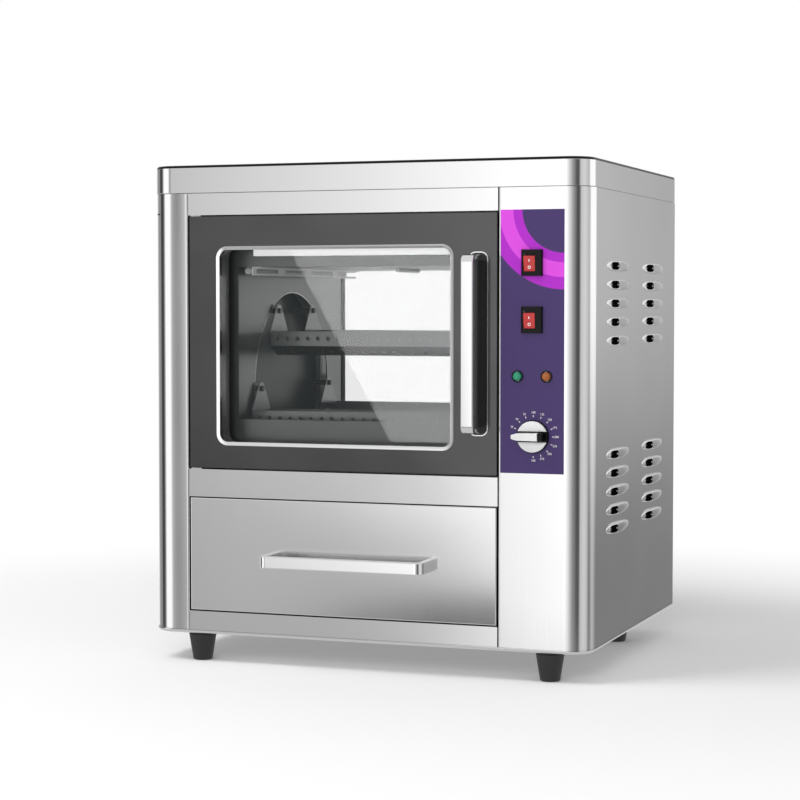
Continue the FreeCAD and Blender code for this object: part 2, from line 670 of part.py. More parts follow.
for plate_x, flange_x in (
        ("cavity_left + guard_offset", "cavity_left + guard_offset"),
        ("cavity_right - guard_offset - skin", "cavity_right - guard_offset - guard_flange")):
    plate = box("guard_plate", (plate_x, "cavity_front", "cavity_ceiling_height - guard_height"),
                ("skin", "cavity_depth + guard_tail", "guard_height"))
    flange = box("guard_flange_plate", (flange_x, "cavity_front", "cavity_ceiling_height - skin"),
                 ("guard_flange", "cavity_depth", "skin"))
    slots = [box("guard_slot", (plate_x + " - overrun",
                                "cavity_front + guard_slot_first + %d * guard_slot_pitch" % i,
                                "cavity_ceiling_height - guard_height / 2 - guard_slot_height / 2"),
                 ("skin + 2 * overrun", "guard_slot_length", "guard_slot_height"))
             for i in range(GUARD_SLOTS)]
    guards.append(cut("guard", fuse("guard_angle", [plate, flange]), slots))
node(group("guard_pair", guards), "heater_guards")
derive(element_z="cavity_floor_height + contact_gap + element_radius")
runs = [cylinder("element_run", ("cavity_left + element_bend_x", "wheel_y" + side + "element_half",
                                 "element_z"),
                 "x", "element_radius", "cavity_width - element_bend_x - contact_gap")
        for side in (" - ", " + ")]
bend = doc.addObject("Part::Torus", "element_bend")
bind(bend, "Radius1", "element_half")
bind(bend, "Radius2", "element_radius")
bend.Angle3 = 180
bend.Placement.Rotation = FreeCAD.Rotation(FreeCAD.Vector(0, 0, 1), 90)
place(bend, ("cavity_left + element_bend_x", "wheel_y", "element_z"))
node(fuse("element", runs + [bend]), "lower_heating_element")
node(cylinder("bulb", ("cavity_middle", "wheel_y - bulb_length / 2", "ceiling_seat - bulb_radius"), "y",
              "bulb_radius", "bulb_length"), "sensor_bulb")

# Carousel: two discs on stub shafts in flanged bushes; the right one is turned by the motor.
CAROUSEL = {
    "wheel_recess": 23, "disc_radius": 150, "disc_thickness": 2, "hub_radius": 22, "hub_length": 6,
    "shaft_reach": 60, "pivot_radius": 130, "pin_radius": 4, "pin_overrun": 3, "tray_end_gap": 5,
    "hanger_thickness": 1.2, "motor_radius": 30, "motor_length": 30, "motor_cap_radius": 24,
    "motor_cap_length": 14, "motor_grip": 12, "bracket_half": 40, "bracket_thickness": 2,
    "standoff_radius": 4, "standoff_inset": 8, "bracket_hole_radius": 12,
}
sizes(CAROUSEL)
TRAYS = 6
derive(
    left_disc="cavity_left - wheel_recess",
    right_disc="cavity_right + wheel_recess",
    pin_length="wheel_recess + tray_end_gap + hanger_thickness + pin_overrun",
    motor_face="right_disc + disc_thickness + shaft_reach - motor_grip",
)
bushes = []
for flange_x, sleeve_x in (
        ("left_column - skin - bush_flange", "left_column - skin - bush_length"),
        ("opening_right + skin", "opening_right")):
    flange = cylinder("bush_flange_disc", (flange_x, "wheel_y", "wheel_z"), "x",
                      "bush_flange_radius", "bush_flange")
    sleeve = cylinder("bush_sleeve", (sleeve_x, "wheel_y", "wheel_z"), "x", "bush_radius",
                      "bush_length + skin")
    bore = cylinder("bush_bore", (sleeve_x + " - overrun", "wheel_y", "wheel_z"), "x",
                    "shaft_radius + shaft_clearance", "bush_length + skin + 2 * overrun")
    bushes.append(cut("bush", fuse("bush_solid", [flange, sleeve]), [bore]))
node(group("bush_pair", bushes), "wheel_bushes")


def wheel(label, disc_x, hub_x, shaft_x, pin_x):
    parts = [cylinder(label + "_disc", (disc_x, "wheel_y", "wheel_z"), "x", "disc_radius", "disc_thickness"),
             cylinder(label + "_hub", (hub_x, "wheel_y", "wheel_z"), "x", "hub_radius", "hub_length"),
             cylinder(label + "_shaft", (shaft_x, "wheel_y", "wheel_z"), "x", "shaft_radius", "shaft_reach")]
    for i in range(TRAYS):
        turn = "(%d * 360 / %d) * 1 deg" % (i, TRAYS)
        parts.append(cylinder(label + "_pin", (pin_x, "wheel_y + pivot_radius * cos(%s)" % turn,
                                               "wheel_z + pivot_radius * sin(%s)" % turn), "x",
                              "pin_radius", "pin_length"))
    node(fuse(label + "_solid", parts), label)


wheel("wheel_left", "left_disc - disc_thickness", "left_disc - disc_thickness - hub_length",
      "left_disc - disc_thickness - shaft_reach", "left_disc")
wheel("wheel_right", "right_disc", "right_disc + disc_thickness", "right_disc + disc_thickness",
      "right_disc - pin_length")

gearbox = cylinder("motor_gearbox", ("motor_face", "wheel_y", "wheel_z"), "x", "motor_radius", "motor_length")
motor_cap = cylinder("motor_cap", ("motor_face + motor_length", "wheel_y", "wheel_z"), "x",
                     "motor_cap_radius", "motor_cap_length")
motor_bore = cylinder("motor_bore", ("motor_face - overrun", "wheel_y", "wheel_z"), "x",
                      "shaft_radius + shaft_clearance", "motor_grip + contact_gap + overrun")
node(cut("motor", fuse("motor_solid", [gearbox, motor_cap]), [motor_bore]), "gear_motor")
bracket_parts = [box("bracket_plate", ("motor_face - bracket_thickness", "wheel_y - bracket_half",
                                       "wheel_z - bracket_half"),
                     ("bracket_thickness", "2 * bracket_half", "2 * bracket_half"))]
for side in (" - ", " + "):
    for rise in (" - ", " + "):
        bracket_parts.append(cylinder(
            "standoff", ("opening_right + skin", "wheel_y" + side + "(bracket_half - standoff_inset)",
                         "wheel_z" + rise + "(bracket_half - standoff_inset)"), "x",
            "standoff_radius", "motor_face - bracket_thickness - opening_right - skin"))
bracket_hole = cylinder("bracket_hole", ("motor_face - bracket_thickness - overrun", "wheel_y", "wheel_z"),
                        "x", "bracket_hole_radius", "bracket_thickness + 2 * overrun")
node(cut("motor_bracket_cut", fuse("motor_bracket_solid", bracket_parts), [bracket_hole]), "motor_bracket")

# Trays: folded troughs that hang level from the wheel pins by a triangular plate at each end.
TRAY = {
    "tray_half_width": 32.5, "tray_rim": 30, "tray_side": 21, "tray_slope": 14, "tray_base_half": 5.5,
    "tray_metal": 1, "hanger_crown": 9, "hanger_top_half": 8,
}
sizes(TRAY)
derive(
    tray_left="cavity_left + tray_end_gap",
    tray_length="cavity_width - 2 * tray_end_gap",
    tray_knee="tray_rim + tray_side",
    tray_bottom="tray_knee + tray_slope",
    pin_bore="pin_radius + shaft_clearance",
)
TRAY_OUTSIDE = [
    ("-tray_half_width", "-tray_rim"), ("-tray_half_width", "-tray_knee"),
    ("-tray_base_half", "-tray_bottom"), ("tray_base_half", "-tray_bottom"),
    ("tray_half_width", "-tray_knee"), ("tray_half_width", "-tray_rim"),
]
TRAY_INSIDE = [
    ("tray_half_width - tray_metal", "-tray_rim"),
    ("tray_half_width - tray_metal", "-tray_knee + tray_metal / 2"),
    ("tray_base_half - tray_metal / 2", "-tray_bottom + tray_metal"),
    ("-tray_base_half + tray_metal / 2", "-tray_bottom + tray_metal"),
    ("-tray_half_width + tray_metal", "-tray_knee + tray_metal / 2"),
    ("-tray_half_width + tray_metal", "-tray_rim"),
]
HANGER = TRAY_OUTSIDE + [("hanger_top_half", "hanger_crown"), ("-hanger_top_half", "hanger_crown")]
trough = prism("trough", "YZ_Plane", ("0", "0", "0"), TRAY_OUTSIDE + TRAY_INSIDE, "tray_length")
hangers = [prism("hanger", "YZ_Plane", (left, "0", "0"), HANGER, "hanger_thickness")
           for left in ("0", "tray_length - hanger_thickness")]
bores = [cylinder("hanger_bore", (left + " - overrun", "0", "0"), "x", "pin_bore",
                  "hanger_thickness + 2 * overrun") for left in ("0", "tray_length - hanger_thickness")]
tray = cut("tray", fuse("tray_solid", [trough] + hangers), bores)
for i in range(TRAYS):
    turn = "(%d * 360 / %d) * 1 deg" % (i, TRAYS)
    at = ("tray_left", "wheel_y + pivot_radius * cos(%s)" % turn, "wheel_z + pivot_radius * sin(%s)" % turn)
    node(copy(tray, at), "tray_%d" % (i + 1))

# Door: a glossy dark front frame, a folded back frame that lines the window, pane and gasket.
DOOR = {
    "door_gap_left": 2.2, "door_gap_right": 1.5, "door_gap_below": 1.8, "door_gap_above": 1.7,
    "door_panel_thickness": 8, "door_corner": 2, "window_left": 106.9, "window_width": 347.5,
    "window_bottom": 309, "window_height": 275.4, "window_round": 15, "door_frame_inset": 2,
    "pane_lap": 10, "gasket_width": 10, "gasket_gap": 0.5, "hinge_inset": 4.8, "hinge_depth": 4,
    "pin_hinge_radius": 2, "hinge_pin_reach": 8, "hinge_pin_play": 1, "bracket_length": 16,
    "bracket_depth": 9, "bracket_leaf": 1.4, "door_handle_x": 478.8, "door_handle_bottom": 332.5,
    "handle_width": 17, "handle_length": 238.8, "handle_bar": 8, "handle_round": 10,
    "handle_inner_round": 4, "catch_x": 484, "catch_width": 16, "catch_bottom": 440, "catch_height": 40,
}
sizes(DOOR)
derive(
    door_left="left_column + door_gap_left",
    door_width="opening_width - door_gap_left - door_gap_right",
    door_bottom="door_sill + door_gap_below",
    door_height="door_opening - door_gap_below - door_gap_above",
    hinge_x="door_left + hinge_inset",
    pane_left="window_left - pane_lap",
    pane_width="window_width + 2 * pane_lap",
    pane_bottom="window_bottom - pane_lap",
    pane_height="window_height + 2 * pane_lap",
    frame_left="door_left + door_frame_inset",
    frame_width="door_width - 2 * door_frame_inset",
    frame_bottom="door_bottom + door_frame_inset",
    frame_height="door_height - 2 * door_frame_inset",
)
Y_EDGES = ({"x": "low", "z": "low"}, {"x": "high", "z": "low"},
           {"x": "low", "z": "high"}, {"x": "high", "z": "high"})


def window_block(name, front, depth, grow):
    """The window's rounded outline as a block, grown outwards by an amount."""
    return block(name, ("window_left - " + grow, front, "window_bottom - " + grow),
                 ("window_width + 2 * " + grow, depth, "window_height + 2 * " + grow),
                 ("window_round + " + grow, *Y_EDGES))


door_slab = block("door_slab", ("door_left", "0", "door_bottom"),
                  ("door_width", "door_panel_thickness", "door_height"), ("door_corner", *Y_EDGES))
door_cuts = [window_block("door_window", "-overrun", "door_panel_thickness + 2 * overrun", "0")]
for bottom in ("door_bottom - overrun", "door_bottom + door_height - hinge_pin_reach"):
    door_cuts.append(cylinder("hinge_socket", ("hinge_x", "hinge_depth", bottom), "z",
                              "pin_hinge_radius + shaft_clearance", "hinge_pin_reach + overrun"))
node(cut("door_face", door_slab, door_cuts), "door_panel")

frame_block = box("door_frame_block", ("frame_left", "door_panel_thickness", "frame_bottom"),
                  ("frame_width", "door_depth - door_panel_thickness", "frame_height"))
frame_hollow = box("door_frame_hollow", ("frame_left + skin", "door_panel_thickness - overrun",
                                         "frame_bottom + skin"),
                   ("frame_width - 2 * skin", "door_depth - door_panel_thickness + overrun - skin",
                    "frame_height - 2 * skin"))
liner = window_block("window_liner", "door_panel_thickness - 2 * overrun",
                     "door_depth - door_panel_thickness + 2 * overrun", "skin")
tunnel = window_block("window_tunnel", "door_panel_thickness - 2 * overrun",
                      "door_depth - door_panel_thickness + 4 * overrun", "0")
frame_channel = cut("door_frame_channel", frame_hollow, [liner])
node(cut("door_frame_cut", frame_block, [frame_channel, tunnel]), "door_frame")

node(box("pane", ("pane_left", "door_depth", "pane_bottom"),
         ("pane_width", "glass_thickness", "pane_height")), "window_glass")
gasket_outer = box("gasket_outer", ("pane_left - gasket_gap - gasket_width", "door_depth",
                                    "pane_bottom - gasket_gap - gasket_width"),
                   ("pane_width + 2 * gasket_gap + 2 * gasket_width", "door_back_gap - contact_gap",
                    "pane_height + 2 * gasket_gap + 2 * gasket_width"))
gasket_inner = box("gasket_inner", ("pane_left - gasket_gap", "door_depth - overrun",
                                    "pane_bottom - gasket_gap"),
                   ("pane_width + 2 * gasket_gap", "door_back_gap + 2 * overrun",
                    "pane_height + 2 * gasket_gap"))
node(cut("gasket_ring", gasket_outer, [gasket_inner]), "door_gasket")

upright = block("door_handle_outer", ("door_handle_x", "-handle_reach", "door_handle_bottom"),
                ("handle_width", "handle_reach", "handle_length"),
                ("handle_round", {"y": "low", "z": "low"}, {"y": "low", "z": "high"}))
grip_gap = block("door_handle_inner", ("door_handle_x - overrun", "-handle_reach + handle_bar",
                                       "door_handle_bottom + handle_bar"),
                 ("handle_width + 2 * overrun", "handle_reach", "handle_length - 2 * handle_bar"),
                 ("handle_inner_round", {"y": "low", "z": "low"}, {"y": "low", "z": "high"}))
node(cut("door_handle_bar", upright, [grip_gap]), "door_handle")

leaves = []
for leaf_z, pin_z, pin_gap in (
        ("door_sill", "door_sill", "door_gap_below"),
        ("door_head - bracket_leaf", "door_head - door_gap_above - hinge_pin_reach + hinge_pin_play",
         "door_gap_above")):
    leaf = box("hinge_leaf", ("hinge_x - hinge_inset + skin", "skin", leaf_z),
               ("bracket_length", "bracket_depth", "bracket_leaf"))
    pin = cylinder("hinge_pin", ("hinge_x", "hinge_depth", pin_z), "z", "pin_hinge_radius",
                   pin_gap + " + hinge_pin_reach - hinge_pin_play")
    leaves.append(fuse("hinge_bracket", [leaf, pin]))
node(group("hinge_pair", leaves), "hinge_brackets")
node(box("catch", ("catch_x", "door_depth + contact_gap", "catch_bottom"),
         ("catch_width", "door_back_gap - contact_gap", "catch_height")), "door_catch")

# Drawer: a folded front, a box whose outward rims ride in C-shaped runners, and its handle.
DRAWER = {
    "drawer_gap_side": 2.2, "drawer_gap_height": 1.5, "drawer_front_depth": 18, "drawer_edge": 1.5,
    "drawer_box_side": 12, "drawer_box_bottom": 80, "drawer_rim_height": 144.5, "drawer_box_back": 458,
    "drawer_rim_gap": 2, "runner_metal": 1.2, "runner_leg": 10, "runner_headroom": 0.8,
    "runner_front": 52, "runner_back": 480, "drawer_handle_left": 185, "drawer_handle_bottom": 141.8,
}
sizes(DRAWER)
derive(
    drawer_left="left_column + drawer_gap_side",
    drawer_width="opening_width - 2 * drawer_gap_side",
    drawer_bottom="drawer_sill + drawer_gap_height",
    drawer_height="drawer_opening - 2 * drawer_gap_height",
    box_left="left_column + drawer_box_side",
    box_width="opening_width - 2 * drawer_box_side",
    box_front="drawer_front_depth + skin",
    rim_top="drawer_rim_height + skin",
    runner_bottom="drawer_rim_height - contact_gap - runner_metal",
    runner_height="contact_gap + skin + runner_headroom + 2 * runner_metal",
)
front_block = block("drawer_front_block", ("drawer_left", "0", "drawer_bottom"),
                    ("drawer_width", "drawer_front_depth", "drawer_height"), ("drawer_edge", {"y": "low"}))
front_hollow = box("drawer_front_hollow", ("drawer_left + skin", "skin", "drawer_bottom + skin"),
                   ("drawer_width - 2 * skin", "drawer_front_depth", "drawer_height - 2 * skin"))
node(cut("drawer_front_pan", front_block, [front_hollow]), "drawer_front")
box_shell = box("drawer_box_shell", ("box_left", "box_front", "drawer_box_bottom"),
                ("box_width", "drawer_box_back - box_front", "rim_top - drawer_box_bottom"))
box_rim = box("drawer_box_rim", ("left_column + drawer_rim_gap", "box_front", "drawer_rim_height"),
              ("opening_width - 2 * drawer_rim_gap", "drawer_box_back - box_front", "skin"))
box_plate = box("drawer_box_plate", ("drawer_left", "drawer_front_depth", "drawer_bottom"),
                ("drawer_width", "skin", "drawer_height"))
box_hollow = box("drawer_box_hollow", ("box_left + skin", "box_front", "drawer_box_bottom + skin"),
                 ("box_width - 2 * skin", "drawer_box_back - box_front - skin",
                  "rim_top - drawer_box_bottom"))
node(cut("drawer_box_cut", fuse("drawer_box_solid", [box_shell, box_rim, box_plate]), [box_hollow]),
     "drawer_box")
bar = block("drawer_handle_outer", ("drawer_handle_left", "-handle_reach", "drawer_handle_bottom"),
            ("handle_length", "handle_reach", "handle_width"), ("handle_round", FRONT_LEFT, FRONT_RIGHT))
bar_gap = block("drawer_handle_inner", ("drawer_handle_left + handle_bar", "-handle_reach + handle_bar",
                                        "drawer_handle_bottom - overrun"),
                ("handle_length - 2 * handle_bar", "handle_reach", "handle_width + 2 * overrun"),
                ("handle_inner_round", FRONT_LEFT, FRONT_RIGHT))
node(cut("drawer_handle_bar", bar, [bar_gap]), "drawer_handle")
runners = []
for runner_x, throat_x in (("left_column", "left_column + runner_metal"),
                           ("opening_right - runner_leg", "opening_right - runner_leg - overrun")):
    channel = box("runner_channel", (runner_x, "runner_front", "runner_bottom"),
                  ("runner_leg", "runner_back - runner_front", "runner_height"))
    throat = box("runner_throat", (throat_x, "runner_front - overrun", "runner_bottom + runner_metal"),
                 ("runner_leg - runner_metal + overrun", "runner_back - runner_front + 2 * overrun",
                  "runner_height - 2 * runner_metal"))
    runners.append(cut("runner", channel, [throat]))
node(group("runner_pair", runners), "drawer_runners")

# Wiring: terminal block in the control column and a rubber bush for the supply cord.
WIRING = {
    "terminal_width": 25, "terminal_depth": 40, "terminal_height": 44, "terminal_y": 440,
    "terminal_z": 90,
}
sizes(WIRING)
node(box("terminals", ("opening_right + skin", "terminal_y", "terminal_z"),
         ("terminal_width", "terminal_depth", "terminal_height")), "terminal_block")
bush_parts = [
    cylinder("cable_bush_flange", ("cable_x", "panel_back", "cable_z"), "y", "cable_flange_radius",
             "cable_flange"),
    cylinder("cable_bush_sleeve", ("cable_x", "panel_back + cable_flange - cable_bush_length", "cable_z"),
             "y", "cable_hole_radius - contact_gap", "cable_bush_length"),
]
cable_bore = cylinder("cable_bush_bore", ("cable_x", "panel_back - cable_bush_length - overrun", "cable_z"),
                      "y", "cable_bore_radius", "cable_bush_length + cable_flange + 2 * overrun")
node(cut("cable_bush_cut", fuse("cable_bush_solid", bush_parts), [cable_bore]), "cable_bush")


def export():
    """Check every object and sub-part, then write one STEP file per node."""
    doc.recompute()
    for item in doc.Objects:
        if "Invalid" in item.State or "Error" in item.State:
            raise RuntimeError("%s (%s) failed: %s" % (item.Name, item.Label, item.State))
    for item in nodes:
        if item.Shape.isNull() or not item.Shape.isValid() or not item.Shape.Solids:
            raise RuntimeError(item.Label + " has no valid solid")
    os.makedirs("parts", exist_ok=True)
    for item in nodes:
        item.Shape.exportStep(os.path.join("parts", item.Label + ".step"))


export()
for item in nodes:
    print(item.Label, len(item.Shape.Solids), "solids", round(item.Shape.Volume))
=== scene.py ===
import math

import bmesh
import bpy
import numpy as np
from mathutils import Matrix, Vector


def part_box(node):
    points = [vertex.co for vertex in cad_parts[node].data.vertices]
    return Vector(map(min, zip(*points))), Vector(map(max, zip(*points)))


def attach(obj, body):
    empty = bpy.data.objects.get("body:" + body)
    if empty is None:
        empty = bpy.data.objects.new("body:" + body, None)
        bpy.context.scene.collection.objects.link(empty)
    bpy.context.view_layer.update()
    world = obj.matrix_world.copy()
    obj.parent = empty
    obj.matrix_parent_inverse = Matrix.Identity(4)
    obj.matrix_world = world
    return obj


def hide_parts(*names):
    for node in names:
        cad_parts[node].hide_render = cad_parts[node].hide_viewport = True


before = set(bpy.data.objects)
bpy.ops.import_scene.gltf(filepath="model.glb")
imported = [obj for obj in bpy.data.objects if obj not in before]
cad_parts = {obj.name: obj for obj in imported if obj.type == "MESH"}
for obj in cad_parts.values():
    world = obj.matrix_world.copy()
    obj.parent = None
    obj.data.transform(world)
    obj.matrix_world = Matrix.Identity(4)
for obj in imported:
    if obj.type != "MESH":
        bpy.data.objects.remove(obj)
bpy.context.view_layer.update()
MM = 0.001
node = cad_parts


# Camera and studio. The camera stands at the photograph's place, a little to the oven's right and
# level with the window. The oven stands on a pale floor in a white room, whose tall soft panels
# and dark gaps between them show in its steel.
CAMERA_PLACE = (1.03569, -2.91446, 0.50304)
CAMERA_YAW = 20.112
CAMERA_DOWN = 2.564
CAMERA_LENS = 94.71
camera = bpy.data.objects.new("camera", bpy.data.cameras.new("camera"))
bpy.context.scene.collection.objects.link(camera)
camera.location = CAMERA_PLACE
camera.rotation_euler = (math.radians(90 - CAMERA_DOWN), 0, math.radians(CAMERA_YAW))
camera.data.lens = CAMERA_LENS
camera.data.sensor_width = 36
bpy.context.scene.camera = camera
bpy.context.scene.view_settings.view_transform = "Standard"


class Reading:
    """One shader socket. Arithmetic on readings adds Math nodes, so shader maths is plain Python.

    The reflected forms are there so that 1 - mask works.
    """

    def __init__(self, graph, socket):
        self.graph = graph
        self.socket = socket

    def maths(self, operation, *values):
        return self.graph.node("Math", {"operation": operation}, dict(enumerate(values)))

    def __add__(self, other):
        return self.maths("ADD", self, other)

    def __sub__(self, other):
        return self.maths("SUBTRACT", self, other)

    def __rsub__(self, other):
        return self.maths("SUBTRACT", other, self)

    def __mul__(self, other):
        return self.maths("MULTIPLY", self, other)

    def __truediv__(self, other):
        return self.maths("DIVIDE", self, other)

    def __pow__(self, other):
        return self.maths("POWER", self, other)

    __radd__ = __add__
    __rmul__ = __mul__

    def ramp(self, *stops):
        """A colour or grey that changes along the reading, given as (place, value) stops."""
        return self.graph.node("ValToRGB", {"stops": stops}, {0: self})

    def span(self, low, high, at_low=0.0, at_high=1.0):
        """The reading moved from one range to another and held inside it."""
        return self.graph.node("MapRange", {"interpolation_type": "SMOOTHSTEP"},
                               {0: self, 1: low, 2: high, 3: at_low, 4: at_high})


class Graph:
    """A node tree being built. node() is the one way in: its settings are set before its sockets."""

    def __init__(self, tree):
        self.tree = tree
        tree.nodes.clear()

    def node(self, kind, settings=None, inputs=None, output=0):
        item = self.tree.nodes.new("ShaderNode" + kind)
        for key, value in (settings or {}).items():
            if key == "stops":
                self.set_stops(item.color_ramp, value)
            else:
                setattr(item, key, value)
        for key, value in (inputs or {}).items():
            if isinstance(value, Reading):
                self.tree.links.new(value.socket, item.inputs[key])
            else:
                item.inputs[key].default_value = value
        return Reading(self, item.outputs[output]) if item.outputs else None

    def mixed(self, share, first, second):
        """A blend of two colours or greys by a share from 0 to 1."""
        blend = self.tree.nodes.new("ShaderNodeMix")
        blend.data_type = "RGBA"
        for index, value in ((0, share), (6, first), (7, second)):
            if isinstance(value, Reading):
                self.tree.links.new(value.socket, blend.inputs[index])
            else:
                blend.inputs[index].default_value = (value, value, value, 1)
        return Reading(self, blend.outputs[2])

    def set_stops(self, ramp, stops):
        while len(ramp.elements) < len(stops):
            ramp.elements.new(1.0)
        for element, (place, value) in zip(ramp.elements, stops):
            element.position = place
            element.color = (*value, 1) if isinstance(value, tuple) else (value, value, value, 1)

    def axes(self, vector):
        """The three parts of a vector."""
        item = self.node("SeparateXYZ", None, {0: vector})
        return [Reading(self, item.socket.node.outputs[i]) for i in range(3)]


# The room as the steel sees it: brightness by compass angle from the front, positive to the
# oven's right, at eye level and low down. White panels stand at the front left, right and left.
LEVEL_PANELS = ((-180, 0.60), (-122, 0.55), (-117, 0.25), (-109, 0.35), (-101, 0.30), (-93, 0.05),
                (-79, 0.06), (-72, 0.40), (-66, 1.24), (-41, 1.24), (-36, 0.60), (-31, 0.22),
                (-28, 0.50), (-26, 0.72), (-22, 0.92), (-18, 1.25), (-15, 1.50), (-5, 1.40),
                (5, 1.00), (15, 0.70), (25, 0.40), (44, 0.07), (54, 0.08), (61, 0.68), (80, 0.82),
                (98, 0.64), (107, 0.55), (114, 1.25), (152, 1.22), (160, 0.85), (167, 0.40),
                (178, 0.60))
LOW_PANELS = ((-180, 0.50), (-122, 0.50), (-117, 0.25), (-109, 0.35), (-101, 0.30), (-93, 0.05),
              (-79, 0.06), (-72, 0.40), (-66, 1.24), (-41, 1.24), (-36, 0.60), (-31, 0.24),
              (-28, 0.42), (-25, 0.50), (-19, 0.50), (-17, 1.40), (-5, 1.30), (5, 1.00),
              (15, 0.62), (25, 0.32), (46, 0.07), (55, 0.10), (61, 0.62), (80, 0.76), (96, 0.60),
              (104, 0.20), (115, 0.27), (126, 0.56), (136, 0.52), (155, 0.30), (167, 0.20),
              (178, 0.50))
# A dark strip lies on the ground at the front left. The bands of the room pass into one another
# between two heights of the ray, given as the sine of its angle.
DARK_STRIP = ((-26, 0), (-22, 1), (-4, 1), (4, 0))
LOW_TO_LEVEL = (-0.13, 0.02)
STRIP_TO_GROUND = (-0.34, -0.30)
GROUND_TO_SIDES = (-0.22, -0.17)
SIDES_TO_CEILING = (0.10, 0.20)
GROUND_SHADE = 0.62
STRIP_SHADE = 0.10
CEILING_SHADE = 0.78
ROOM_LIGHT = 0.62
world = bpy.data.worlds.new("studio")
bpy.context.scene.world = world
world.use_nodes = True
room = Graph(world.node_tree)
x, y, z = room.axes(room.node("TexCoord", None, None, "Generated"))
compass = x.maths("ARCTAN2", x, y * -1) / (2 * math.pi) + 0.5
level, low, strip = (compass.ramp(*((angle / 360 + 0.5, value) for angle, value in stops))
                     for stops in (LEVEL_PANELS, LOW_PANELS, DARK_STRIP))
sides = room.mixed(z.span(*LOW_TO_LEVEL), low, level)
ground = room.mixed(z.span(*STRIP_TO_GROUND) * strip, GROUND_SHADE, STRIP_SHADE)
upright = room.mixed(z.span(*GROUND_TO_SIDES), ground, sides)
panels = room.mixed(z.span(*SIDES_TO_CEILING), upright, CEILING_SHADE)
rays = room.node("LightPath")
glossy = Reading(room, rays.socket.node.outputs["Is Glossy Ray"])
fill = room.node("Background", None, {"Color": (1, 1, 1, 1), "Strength": ROOM_LIGHT})
white = room.node("Background", None, {"Color": (1, 1, 1, 1), "Strength": 1.0})
seen = room.node("Background", None, {"Color": panels, "Strength": 1.0})
lit = room.node("MixShader", None, {0: glossy, 1: fill, 2: seen})
straight = rays.maths("MAXIMUM", rays, Reading(room, rays.socket.node.outputs["Is Transmission Ray"]))
room.node("OutputWorld", None, {0: room.node("MixShader", None, {0: straight, 1: lit, 2: white})})


def lamp(name, place, aim, size, watts, hidden=True):
    """A rectangular soft lamp that faces a point."""
    item = bpy.data.objects.new(name, bpy.data.lights.new(name, "AREA"))
    bpy.context.scene.collection.objects.link(item)
    item.data.shape = "RECTANGLE"
    item.data.size, item.data.size_y = size
    item.data.energy = watts
    item.location = place
    way = np.subtract(aim, place)
    flat = math.hypot(way[0], way[1])
    item.rotation_euler = (math.pi / 2 + math.atan2(way[2], flat), 0, math.atan2(-way[0], way[1]))
    item.visible_glossy = not hidden
    item.visible_camera = False
    return item


lamp("key", place=(-1.2, -1.1, 2.6), aim=(0.1, 0.0, 0.2), size=(1.2, 1.2), watts=34)
lamp("front", place=(0.6, -3.2, 1.6), aim=(0.0, 0.0, 0.4), size=(1.6, 1.2), watts=26)


def grid(points, close_rows=False, close_columns=False):
    """Corners and quads of a grid of points, rows by columns by (x, y, z), ends joined where closed."""
    rows, columns = points.shape[:2]
    index = np.arange(rows * columns).reshape(rows, columns)
    if close_rows:
        index = np.vstack([index, index[:1]])
    if close_columns:
        index = np.hstack([index, index[:, :1]])
    quads = np.stack([index[:-1, :-1], index[:-1, 1:], index[1:, 1:], index[1:, :-1]], axis=-1)
    return points.reshape(-1, 3), quads.reshape(-1, 4)


def mesh_of(name, *grids):
    """One mesh from the corners and quads of several grids."""
    corners, faces, count = [], [], 0
    for points, quads in grids:
        corners.append(points)
        faces.append(quads + count)
        count += len(points)
    mesh = bpy.data.meshes.new(name)
    mesh.from_pydata(np.vstack(corners).tolist(), [], np.vstack(faces).tolist())
    return mesh


# Floor: a wide matt sheet that fades into the white of the room away from the oven's shadow.
FLOOR_REACH = 6.0
FLOOR_SHADE = 0.93
FLOOR_FADE = (0.55, 1.5)
u, v = np.meshgrid((-FLOOR_REACH, FLOOR_REACH), (-FLOOR_REACH, FLOOR_REACH))
floor = bpy.data.objects.new("floor", mesh_of("floor", grid(np.stack([u, v, 0 * u], axis=-1))))
bpy.context.scene.collection.objects.link(floor)
floor_finish = bpy.data.materials.new("pale_floor")
floor_finish.use_nodes = True
paint = Graph(floor_finish.node_tree)
floor_x, floor_y = paint.axes(paint.node("TexCoord", None, None, "Object"))[:2]
away = (floor_x * floor_x + floor_y * floor_y) ** 0.5
matt = paint.node("BsdfDiffuse", None, {"Color": (FLOOR_SHADE, FLOOR_SHADE, FLOOR_SHADE, 1)})
glow = paint.node("Emission", None, {"Color": (1, 1, 1, 1), "Strength": 1.0})
faded = paint.node("MixShader", None, {0: away.span(*FLOOR_FADE), 1: matt, 2: glow})
paint.node("OutputMaterial", None, {0: faded})
floor.data.materials.append(floor_finish)
floor.visible_glossy = False


# Satin stainless steel of the outer casing: sheet about 1 mm thick with a fine vertical grain,
# folded at the corners. The same steel, plainer, lines the cavity, with its colour painted darker
# as the shade inside.
GRAIN_LONG = 8
GRAIN_FINE = 900
GRAIN_HEIGHT = 0.00002
GLOSS_DRIFT = 0.06


def finish(name):
    """A new material, and its empty node tree as a Graph."""
    material = bpy.data.materials.new(name)
    material.use_nodes = True
    return material, Graph(material.node_tree)


